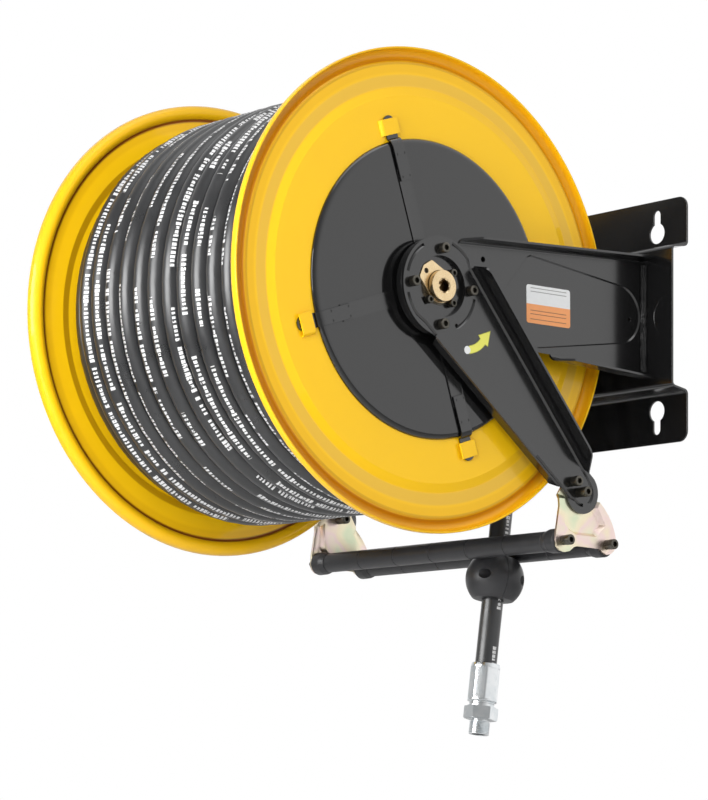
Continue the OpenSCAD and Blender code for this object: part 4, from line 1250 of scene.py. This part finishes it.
class REEL_OT_guide_arms(bpy.types.Operator):
    """Presses the two arms that carry the rollers"""

    bl_idname = "reel.guide_arms"
    bl_label = "Guide arms"

    # The angle at which the upper edge meets the head's and the end's circles
    TOP_TURN = 40.05

    def execute(self, context):
        outer = touch(HEAD_R - SHEET / 2, GUIDE_END_R - SHEET / 2, 1)
        low_r, low_end_r = HEAD_R - LOW_INSET, GUIDE_END_R - LOW_INSET
        inner = touch(low_r - SHEET / 2, low_end_r - SHEET / 2, -1)
        length = (inner[1] - inner[0]).length
        top = along(outer, 10), along(outer, length - 11)
        low = along(inner, 33.75), along(inner, length - 32.5)
        edge = touch(low_r, low_end_r, -1)
        start = along(edge, math.sqrt(HEAD_R**2 - low_r**2))
        stop = along(edge, length - math.sqrt(GUIDE_END_R**2 - low_end_r**2))
        head = arc((0, 0), HEAD_R, self.turn_of(start, (0, 0)), self.TOP_TURN, 48)
        end = arc(GUIDE_END, GUIDE_END_R, self.TOP_TURN, self.turn_of(stop, GUIDE_END) - 360, 30)
        near = skin("guide_arm_sheet_near", [*top, *end, low[1], low[0], *head], GUIDE_X + SHEET / 2)
        stand_up(near, top, FLANGE, start=6, stop=28)
        stand_up(near, low, -12.5, start=8, stop=8)
        choose(near, "VERT", lambda co: co.x > (GUIDE_X + FLANGE) * MM)
        bevel(9, 5, "VERTICES")
        bend(near, GUIDE_X + SHEET / 2, [top, low], 4)
        thicken(near, SHEET)
        drill_head(near, GUIDE_X)
        holes = [(*spot, 4.3, 24) for spot, _ in self.bolt_places()] + [(*polar(52, -62), 2.5, 20)]
        for y, z, radius, sides in holes:
            carve(near, rod("hole", GUIDE_X - 2, FACE_X + 3, radius, sides, y=y, z=z))
        soften(near, 0.4)
        for line in self.creases(length):
            carve(near, groove(line, FACE_X))
        smooth(near, 35)
        fit_ends(near, "frame", finish("black_enamel"), "guide_arm")
        self.arrow()
        self.bolts()
        return {"FINISHED"}

    def turn_of(self, point, centre):
        """The angle from 0 to 360 degrees at which a point is seen from a centre."""
        way = Vector(point) - Vector(centre)
        return math.degrees(math.atan2(way.y, way.x)) % 360

    def creases(self, length):
        """The lines pressed into the web beside its edges."""
        outer = touch(HEAD_R - 9.3, GUIDE_END_R - 9.3, 1)
        inner = touch(HEAD_R - LOW_INSET - 3, GUIDE_END_R - LOW_INSET - 3, -1)
        left = arc((0, 0), 56, 122, 168, 14)
        low_left = [*arc((0, 0), 55.5, 195, 226, 10), along(inner, 8), along(inner, 32)]
        over = [*arc((0, 0), 57, 74, 44, 8), along(outer, 8), along(outer, length - 6)]
        over += arc(GUIDE_END, 17.5, 44, -54, 14)
        under = [along(inner, length - 86), along(inner, length - 8)]
        under += arc(GUIDE_END, 16.5, -140, -86, 7)
        low_right = arc((0, 0), 54.5, -10, -64, 14)
        return [left, low_left, over, under, low_right]

    def bolt_places(self):
        """Where the two bolts at the arm's end are, each with the height of its spacer."""
        end_y, end_z = GUIDE_END
        return [
            ((end_y + GUIDE_END_R * y, end_z + GUIDE_END_R * z), spacer)
            for y, z, spacer in ((-0.58, 0.44, 3.6), (-0.25, -0.04, 10))
        ]

    def bolts(self):
        """Two bolts and nuts at each arm's end, all with their heads towards the near side."""
        shapes = []
        for spot, spacer in self.bolt_places():
            for x in (FACE_X, -ARM_X):
                screw = cap_screw("bolt", 8, 12, spacer)
                nut = rod("nut", -12, -6, 6.4, 6)
                soften(nut, 0.5)
                shapes.append(place(joined("bolt", [screw, nut]), (x, *spot)))
        bolts = joined("guide_arm_bolts", shapes)
        fit(bolts, "frame", finish("dark_steel"), ["arm_end_bolts"])

    def arrow(self):
        """A curved arrow that shows which way the hose runs out."""
        points = [
            (45.1, -68.1), (50.5, -66.6), (55.6, -64.3), (60, -61.2), (63.5, -57.4), (60.3, -53.1),
            (80.6, -45.6), (76.6, -66.0), (71.9, -64.1), (68.2, -68.2), (63.7, -71.6),
            (58.4, -74.6), (52.5, -76.8), (46.2, -78.4),
        ]
        lift = 0.02
        piece = plate("run_out_arrow", points, FACE_X + lift, 0.16)
        choose(piece, "FACE", lambda c, n: n.x > 0.9)
        bpy.ops.mesh.inset(thickness=0.7 * MM, depth=0)
        take(piece)
        for name in ("arrow_rim", "arrow_green"):
            piece.data.materials.append(finish(name))
        biggest = max((f for f in piece.data.polygons if f.normal.x > 0.9), key=lambda f: f.area)
        biggest.material_index = 1
        fit(piece, "frame", None)
        dot = rod("run_out_dot", FACE_X + lift, FACE_X + 0.3, 5, 32, y=42.7, z=-73.8)
        soften(dot, 0.05)
        fit(dot, "frame", finish("label_white"))


class REEL_OT_wall_plate(bpy.types.Operator):
    """Presses the plate that bolts to the wall"""

    bl_idname = "reel.wall_plate"
    bl_label = "Wall plate"

    def execute(self, context):
        half = [(-SHEET / 2, 160), (-SHEET / 2, 95), (-28.5, 90.5)]
        line = half + [(y, -z) for y, z in half[::-1]]
        reach = 285.5
        piece = draw("pressed_wall_plate", [(-reach, y, z) for y, z in line], closed=False)
        extrude(2 * reach)
        choose(piece, "VERT", lambda co: abs(co.z) > 0.159)
        bevel(14, 6, "VERTICES")
        choose(piece, "EDGE", lambda a, b: abs(a.x - b.x) > 0.5 and abs(a.z) < 0.1)
        bevel(4.5, 5, "EDGES")
        thicken(piece, SHEET)
        for side in (-1, 1):
            for over in (-1, 1):
                carve(piece, self.keyhole(232 * side, 117 * over, over))
        soften(piece, 0.5)
        for side in (-1, 1):
            ring = groove(arc((279 * side, 0), 26, 90, 90 + 180 * side, 18), 30, 1.3, 0.9)
            carve(piece, place(ring, turn_z=-90))
        smooth(piece, 40)
        fit(piece, "frame", finish("black_enamel"), ["wall_plate"], hub=False)
        self.welds()
        return {"FINISHED"}

    def keyhole(self, x, z, sign):
        """A drill for a round hole with a slot that runs outward from it."""
        slot_r = 6.25
        drill = quarter(rod("keyhole", -10, 10, 13.5, 48), "Z")
        slot = [(-slot_r, 0), (slot_r, 0), *arc((0, 24), slot_r, 0, 180, 12)]
        tool = draw("slot", [(a, -10, b * sign) for a, b in slot])
        bpy.ops.mesh.edge_face_add()
        extrude(y=20)
        close_up(tool)
        carve(drill, tool, how="UNION")
        return place(drill, (x, 0, z))

    def welds(self):
        """Weld beads between the wall arms and the plate's web."""
        seams = []
        for x in (235.5, -235.5):
            bead = rod("bead", -70, 70, 4.3, 16)
            edit(bead)
            bpy.ops.mesh.subdivide(number_cuts=24)
            bpy.ops.transform.vertex_random(offset=0.35 * MM, seed=4)
            seams.append(quarter(bead, "Y", move=(x, 349.5, 3)))
        piece = joined("arm_welds", seams)
        smooth(piece, 60)
        fit(piece, "frame", finish("black_enamel"), ["weld_seams"])


# ---------- hub ----------


class REEL_OT_hub(bpy.types.Operator):
    """Fits the spacer plates, the screws, the brass plug and the inlet"""

    bl_idname = "reel.hub"
    bl_label = "Hub"

    SPIGOT_R = 12.4

    def execute(self, context):
        bore_r, edge_r, top = 22.6, 60, SPACER_X + 10
        profile = rounded([
            (bore_r, SPACER_X, 0), (edge_r, SPACER_X, 1.5), (edge_r, top, 1), (bore_r, top, 0.5),
        ])
        spacer = turned("hub_spacer_near", profile, 96)
        smooth(spacer, 40)
        fit_ends(spacer, "frame", finish("black_enamel"), "hub_plate")
        self.screws()
        self.plug()
        self.inlet()
        return {"FINISHED"}

    def screws(self):
        """The large screws through each arm's head, and the small ones of the flange inside it."""
        large, small = cap_screw("large", 8, 15), cap_screw("small", 6, 9, 2)
        near_turns, far_turns = (-135, -45, 45), (-135, -45, 45, 135)
        for end, small_turns in (("near", near_turns), ("far", far_turns)):
            rings = (
                ("hub_screws", large, FACE_X, SCREW_R, SCREW_TURNS),
                ("flange_screws", small, ARM_X, 26.5, small_turns),
            )
            for kind, screw, x, radius, turns in rings:
                node = f"{kind}_{end}"
                shapes = [copy(screw, "screw", (x, *polar(radius, turn))) for turn in turns]
                piece = joined("capped_" + node, shapes)
                if end == "far":
                    piece = other_side(piece, piece.name + "_side")
                fit(piece, "frame", finish("dark_steel"), [node])
        discard(large, small)

    def plug(self):
        """The brass boss with its one lobe and its hexagon socket."""
        profile = [
            (0, 216), (self.SPIGOT_R, 216), (self.SPIGOT_R, ARM_X), (20.5, ARM_X), (20.5, 234.6),
            (20.1, 235), (18.8, 235), (18.8, 235.6), (19.5, 236.3), (19.5, 241.9), (19.2, 242.6),
            (18.5, 243), (9.6, 243), (8.6, 242.2), (0, 242.2),
        ]
        boss = turned("brass_plug", profile, 64, closed=False)
        carve(boss, hexagon_rod("socket", 234.5, 245, 14, 8))
        smooth(boss, 30)
        # the faces inside the hexagon socket take a painted shade
        for name in ("brass", "worn_socket"):
            boss.data.materials.append(finish(name))
        for face in boss.data.polygons:
            off_axis = face.center.yz.length / MM
            face.material_index = int(off_axis < 8 and face.center.x < 0.2425)
        corners = [polar(34.3, turn) for turn in (114, 166)]
        sides = rounded([
            (0, 0, 0), (*polar(22, 58), 0), (*corners[0], 3.5), (*polar(35.6, 140), 0),
            (*corners[1], 3.5), (*polar(20, 217), 0),
        ])
        tab = plate("tab", sides, ARM_X, 3)
        carve(tab, rod("hole", 231, 240, 3.3, 24, y=-22.6, z=16.6))
        soften(tab, 0.35)
        tab.data.materials.append(finish("brass"))
        plug = joined("brass_end_plug", [boss, tab])
        fit(plug, "frame", None, ["end_plug"])

    def inlet(self):
        """The brass inlet with its threaded bore."""
        end_x = 266
        profile = rounded([
            (WATER_R, 216, 0), (self.SPIGOT_R, 216, 0), (self.SPIGOT_R, ARM_X, 0), (20, ARM_X, 0.6),
            (20, end_x, 1.2), (13.4, end_x, 0), (12.1, end_x - 1.3, 0), (12.1, 248, 0),
            (WATER_R, 248, 0),
        ])
        piece = turned("inlet", profile, 64)
        smooth(piece, 40)
        inlet = other_side(piece, "brass_inlet_port")
        fit(inlet, "frame", finish("brass"), ["inlet_port"])


# ---------- guide rollers ----------


class REEL_OT_rollers(bpy.types.Operator):
    """Fits the sleeves, collars, axles and brackets of the two guide rollers"""

    bl_idname = "reel.rollers"
    bl_label = "Guide rollers"

    def execute(self, context):
        sleeve = turned("sleeve", rounded([
            (LOOSE_R, 0.2, 0), (ROLLER_R, 0.2, 1.2), (ROLLER_R, SLEEVE - 0.2, 1.2),
            (LOOSE_R, SLEEVE - 0.2, 0),
        ]), 48)
        smooth(sleeve, 40)
        collar = turned("collar", rounded([
            (LOOSE_R, 3 * SLEEVE + 0.4, 0), (ROLLER_R, 3 * SLEEVE + 0.4, 0.8), (15.3, 222, 4),
            (15.5, 237.6, 2.5), (LOOSE_R, 237.6, 0),
        ]), 48)
        smooth(collar, 40)
        for spot, (_, y, z) in ROLLERS.items():
            row = [copy(sleeve, "part", (SLEEVE * i, y, z)) for i in range(-3, 3)]
            sleeves = joined(spot + "_sleeves", row)
            side = copy(collar, "part", (0, y, z))
            collars = joined(spot + "_collars", [side, flipped(side, "part")])
            for piece, node in ((sleeves, "sleeves"), (collars, "collars")):
                fit(piece, "roller_" + spot, finish("black_plastic"),
                    [f"roller_{spot}_{node}"])
            self.axle(spot, (0, y, z))
        discard(sleeve, collar)
        self.brackets()
        return {"FINISHED"}

    def axle(self, spot, move):
        end = 241
        bar = rod("bar", -end, end, AXLE_R, 32)
        soften(bar, 0.4)
        head = place(cap_screw("head", 8, 1, 6.5), (end, 0, 0))
        nut = rod("nut", -end - 8, -end, 8.5, 6)
        soften(nut, 0.6)
        piece = place(joined(spot + "_axle", [bar, head, nut]), move)
        fit(piece, "frame", finish("dark_steel"), ["roller_axle_" + spot])

    def brackets(self):
        """Zinc plates with a stepped foot for the axles."""
        foot = [
            (196.5, -243), (197.4, -251.5), (195.8, -261), (194.2, -271), (191.8, -284), (191.5, -295.6),
            (193, -303), (198.4, -307.6), (207, -309.4), (215.2, -307.5), (222.6, -302), (228.5, -300.3),
            (267, -300.9), (273.3, -305.2), (280, -307.6), (287.4, -306), (293, -301.5),
            (296.2, -293.8), (295.8, -286), (293.2, -276.5), (288.9, -266.8), (282.7, -257.4),
            (275.6, -249.4), (268.6, -242.6),
        ]
        brim = [(206, -243), (206, -274), (214, -282), (226, -287), (263, -287), (269, -280),
                (279, -271), (265, -249.5)]
        floor = [(210, -239), (210, -272), (217, -278.5), (227.5, -283), (261, -283), (265, -277.5),
                 (273, -270.5), (259, -250.5)]
        lobe = arc((231.3, -227.2), 24.75, 0, 180, 18)
        high_x, low_x = FACE_X + SHEET / 2, ARM_X + SHEET / 2
        low_line = [(199.5, -237), *floor, (264, -240.5)]
        high_line = [foot[0], *brim, foot[-1]]
        raised = skin("raised", [*foot, *brim[::-1]], high_x)
        sunk = skin("sunk", [*low_line, *lobe], low_x)
        rails = [
            draw("rail", [(x, *p) for p in line], closed=False)
            for x, line in ((high_x, high_line), (low_x, low_line))
        ]
        wall = joined("wall", rails)
        edit(wall, "EDGE")
        bpy.ops.mesh.bridge_edge_loops()
        near = joined("zinc_bracket_near", [raised, sunk, wall])
        edit(near)
        merge()
        thicken(near, SHEET)
        for _, y, z in ROLLERS.values():
            carve(near, rod("hole", 230, 245, LOOSE_R, 24, y=y, z=z))
        soften(near, 0.5)
        fit_ends(near, "frame", finish("yellow_zinc"), "roller_bracket")


# ---------- stop ball and hose end ----------


class REEL_OT_hose_end(bpy.types.Operator):
    """Clamps the stop ball on the hose and crimps the threaded end"""

    bl_idname = "reel.hose_end"
    bl_label = "Stop ball and fitting"

    def execute(self, context):
        self.ball()
        self.fitting()
        return {"FINISHED"}

    def ball(self):
        """Two halves round the hose, with a recess for each screw."""
        round_r, flat, hose_r, turn = 38, 27.5, HOSE_R + 0.05, -16
        middle, down = (LEAD_X, *DROPS[1]), -lean(DROPS[1], DROPS[3])
        ball = [(*p, 0) for p in arc((0, 0), round_r, -42, 42, 14)]
        profile = rounded([
            (hose_r, -flat, 0.8), (26.2, -flat, 3), *ball, (26.2, flat, 3), (hose_r, flat, 0.8),
        ])
        whole = quarter(turned("ball", profile, 64), "Y", -1)
        for name, sign in (("front", -1), ("rear", 1)):
            half = copy(whole, "ball_half_" + name)
            edit(half)
            bpy.ops.mesh.bisect(plane_co=(0, 0.25 * sign * MM, 0), plane_no=(0, 1, 0),
                                use_fill=True, clear_inner=sign > 0, clear_outer=sign < 0)
            for x in (-25, 25):
                for radius, start in ((3.3, 0), (6.5, 12)):
                    drill = rod("drill", start, 45, radius, 32)
                    carve(half, quarter(drill, "Z", sign, (x, 0, 0)))
            soften(half, 0.5)
            place(place(half, turn_z=turn), middle, turn_x=down)
            fit(half, "frame", finish("black_plastic"), ["stop_ball_" + name])
        discard(whole)
        bolts = []
        for x in (-25, 25):
            bolt = joined("bolt", [cap_screw("bolt", 6, 24), rod("nut", -29, -24, 5.7, 6)])
            bolts.append(quarter(bolt, "Z", -1, (x, -12, 0)))
        piece = place(joined("ball_bolts", bolts), turn_z=turn)
        place(piece, middle, turn_x=down)
        fit(piece, "frame", finish("dark_steel"), ["stop_ball_screws"])

    def fitting(self):
        """The crimped ferrule, and the hexagon adaptor with its thread."""
        end, down = (LEAD_X, *DROPS[4]), -lean(DROPS[3], DROPS[4])
        for piece, node in ((self.ferrule(), "hose_ferrule"), (self.adaptor(), "hose_adaptor")):
            place(quarter(piece, "Y"), end, turn_x=down)
            fit(piece, "frame", finish("white_zinc"), [node])

    def ferrule(self):
        hose_r = HOSE_R + 0.1
        piece = turned("crimped_ferrule", rounded([
            (hose_r, -30, 0), (18.2, -30, 0.8), (19, -26, 2), (19, 19, 1.2), (16.5, 20.2, 0.5),
            (16.5, 22, 0.5), (WATER_R, 22, 0), (WATER_R, 0, 0), (hose_r, 0, 0),
        ]), 64)
        for turn in range(0, 360, 45):
            take(None)
            bpy.ops.mesh.primitive_cube_add(size=1)
            jaw = bpy.context.object
            jaw.scale = (40 * MM, 12 * MM, 4 * MM)
            jaw.location = (-4 * MM, 0, 20.1 * MM)
            apply_place()
            carve(piece, place(jaw, turn_x=turn + 11))
        soften(piece, 0.4)
        return piece

    def adaptor(self):
        low, high, seat_r = 26.1, 42.1, 11.4
        piece = turned("threaded_end", [
            (WATER_R, 22.1), (16.2, 22.1), (16.2, 25.1), (18.4, 25.1), (18.4, high), (seat_r, high),
            (seat_r, 44.6), *self.thread(45.2, 60.2, 13.2, 1.8), (12, 61.1), (WATER_R, 61.1),
        ], 64)
        hexagon = hexagon_rod("hexagon", low, high, 38, 40)
        carve(hexagon, rod("bore", 20, 45, WATER_R, 48))
        cone = [(0, 24), (20.2, 24), (22.6, 27.6), (22.6, 39.6), (20.2, 43.2), (0, 43.2)]
        carve(hexagon, turned("cone", cone, 64, closed=False), how="INTERSECT")
        carve(piece, hexagon, how="UNION")
        smooth(piece, 30)
        return piece

    def thread(self, start, stop, radius, pitch):
        """The flanks of a pipe thread along a profile."""
        deep = 1.1
        points = []
        x = start
        while x < stop:
            points += [(radius - deep, x), (radius, x + pitch * 0.4), (radius, x + pitch * 0.55)]
            x += pitch
        return points + [(radius - deep, x)]


# ---------- what stays from the solids ----------

KEPT = {
    "bright_steel": ["bearing_inner_rings", "bearing_outer_rings", "bearing_balls",
                     "pawl_pin", "pawl_spring", "tie_rods", "spring_case"],
    "dark_steel": ["fixed_shaft", "spring_arbor", "bearing_housings", "power_spring",
                   "ratchet_ring", "pawl"],
    "brass": ["swivel_sleeve", "feed_pipe"],
    "inner_rubber": ["swivel_seals"],
    "yellow_enamel": ["drum_core"],
}


class REEL_OT_inner_parts(bpy.types.Operator):
    """Paints the bearings, the spring, the latch and the water way"""

    bl_idname = "reel.inner_parts"
    bl_label = "Inner parts"

    def execute(self, context):
        for name, nodes in KEPT.items():
            for node in nodes:
                part = frame["nodes"][node]
                part.data.materials.clear()
                part.data.materials.append(finish(name))
        return {"FINISHED"}


class REEL_PT_panel(bpy.types.Panel):
    """The reel's steps, in order"""

    bl_label = "Hose Reel"
    bl_idname = "REEL_PT_panel"
    bl_space_type = "VIEW_3D"
    bl_region_type = "UI"
    bl_category = "Hose Reel"

    def draw(self, context):
        layout = self.layout
        for group in (context.scene.reel_colours, context.scene.reel_stage):
            for name in group.__annotations__:
                layout.prop(group, name)
        for step in STEPS:
            layout.operator(step.bl_idname)


STEPS = [
    REEL_OT_camera,
    REEL_OT_lead,
    REEL_OT_winding,
    REEL_OT_core,
    REEL_OT_discs,
    REEL_OT_pans,
    REEL_OT_wall_plate,
    REEL_OT_wall_arms,
    REEL_OT_guide_arms,
    REEL_OT_hub,
    REEL_OT_rollers,
    REEL_OT_hose_end,
    REEL_OT_inner_parts,
    REEL_OT_stage,
]
CLASSES = [ReelColours, ReelStage, *STEPS, REEL_PT_panel]


def register():
    for cls in CLASSES:
        bpy.utils.register_class(cls)
    bpy.types.Scene.reel_colours = bpy.props.PointerProperty(type=ReelColours)
    bpy.types.Scene.reel_stage = bpy.props.PointerProperty(type=ReelStage)


def unregister():
    del bpy.types.Scene.reel_stage
    del bpy.types.Scene.reel_colours
    for cls in reversed(CLASSES):
        bpy.utils.unregister_class(cls)


def main():
    register()
    for step in STEPS:
        group, name = step.bl_idname.split(".")
        getattr(getattr(bpy.ops, group), name)()
    take(None)


if __name__ == "__main__":
    main()
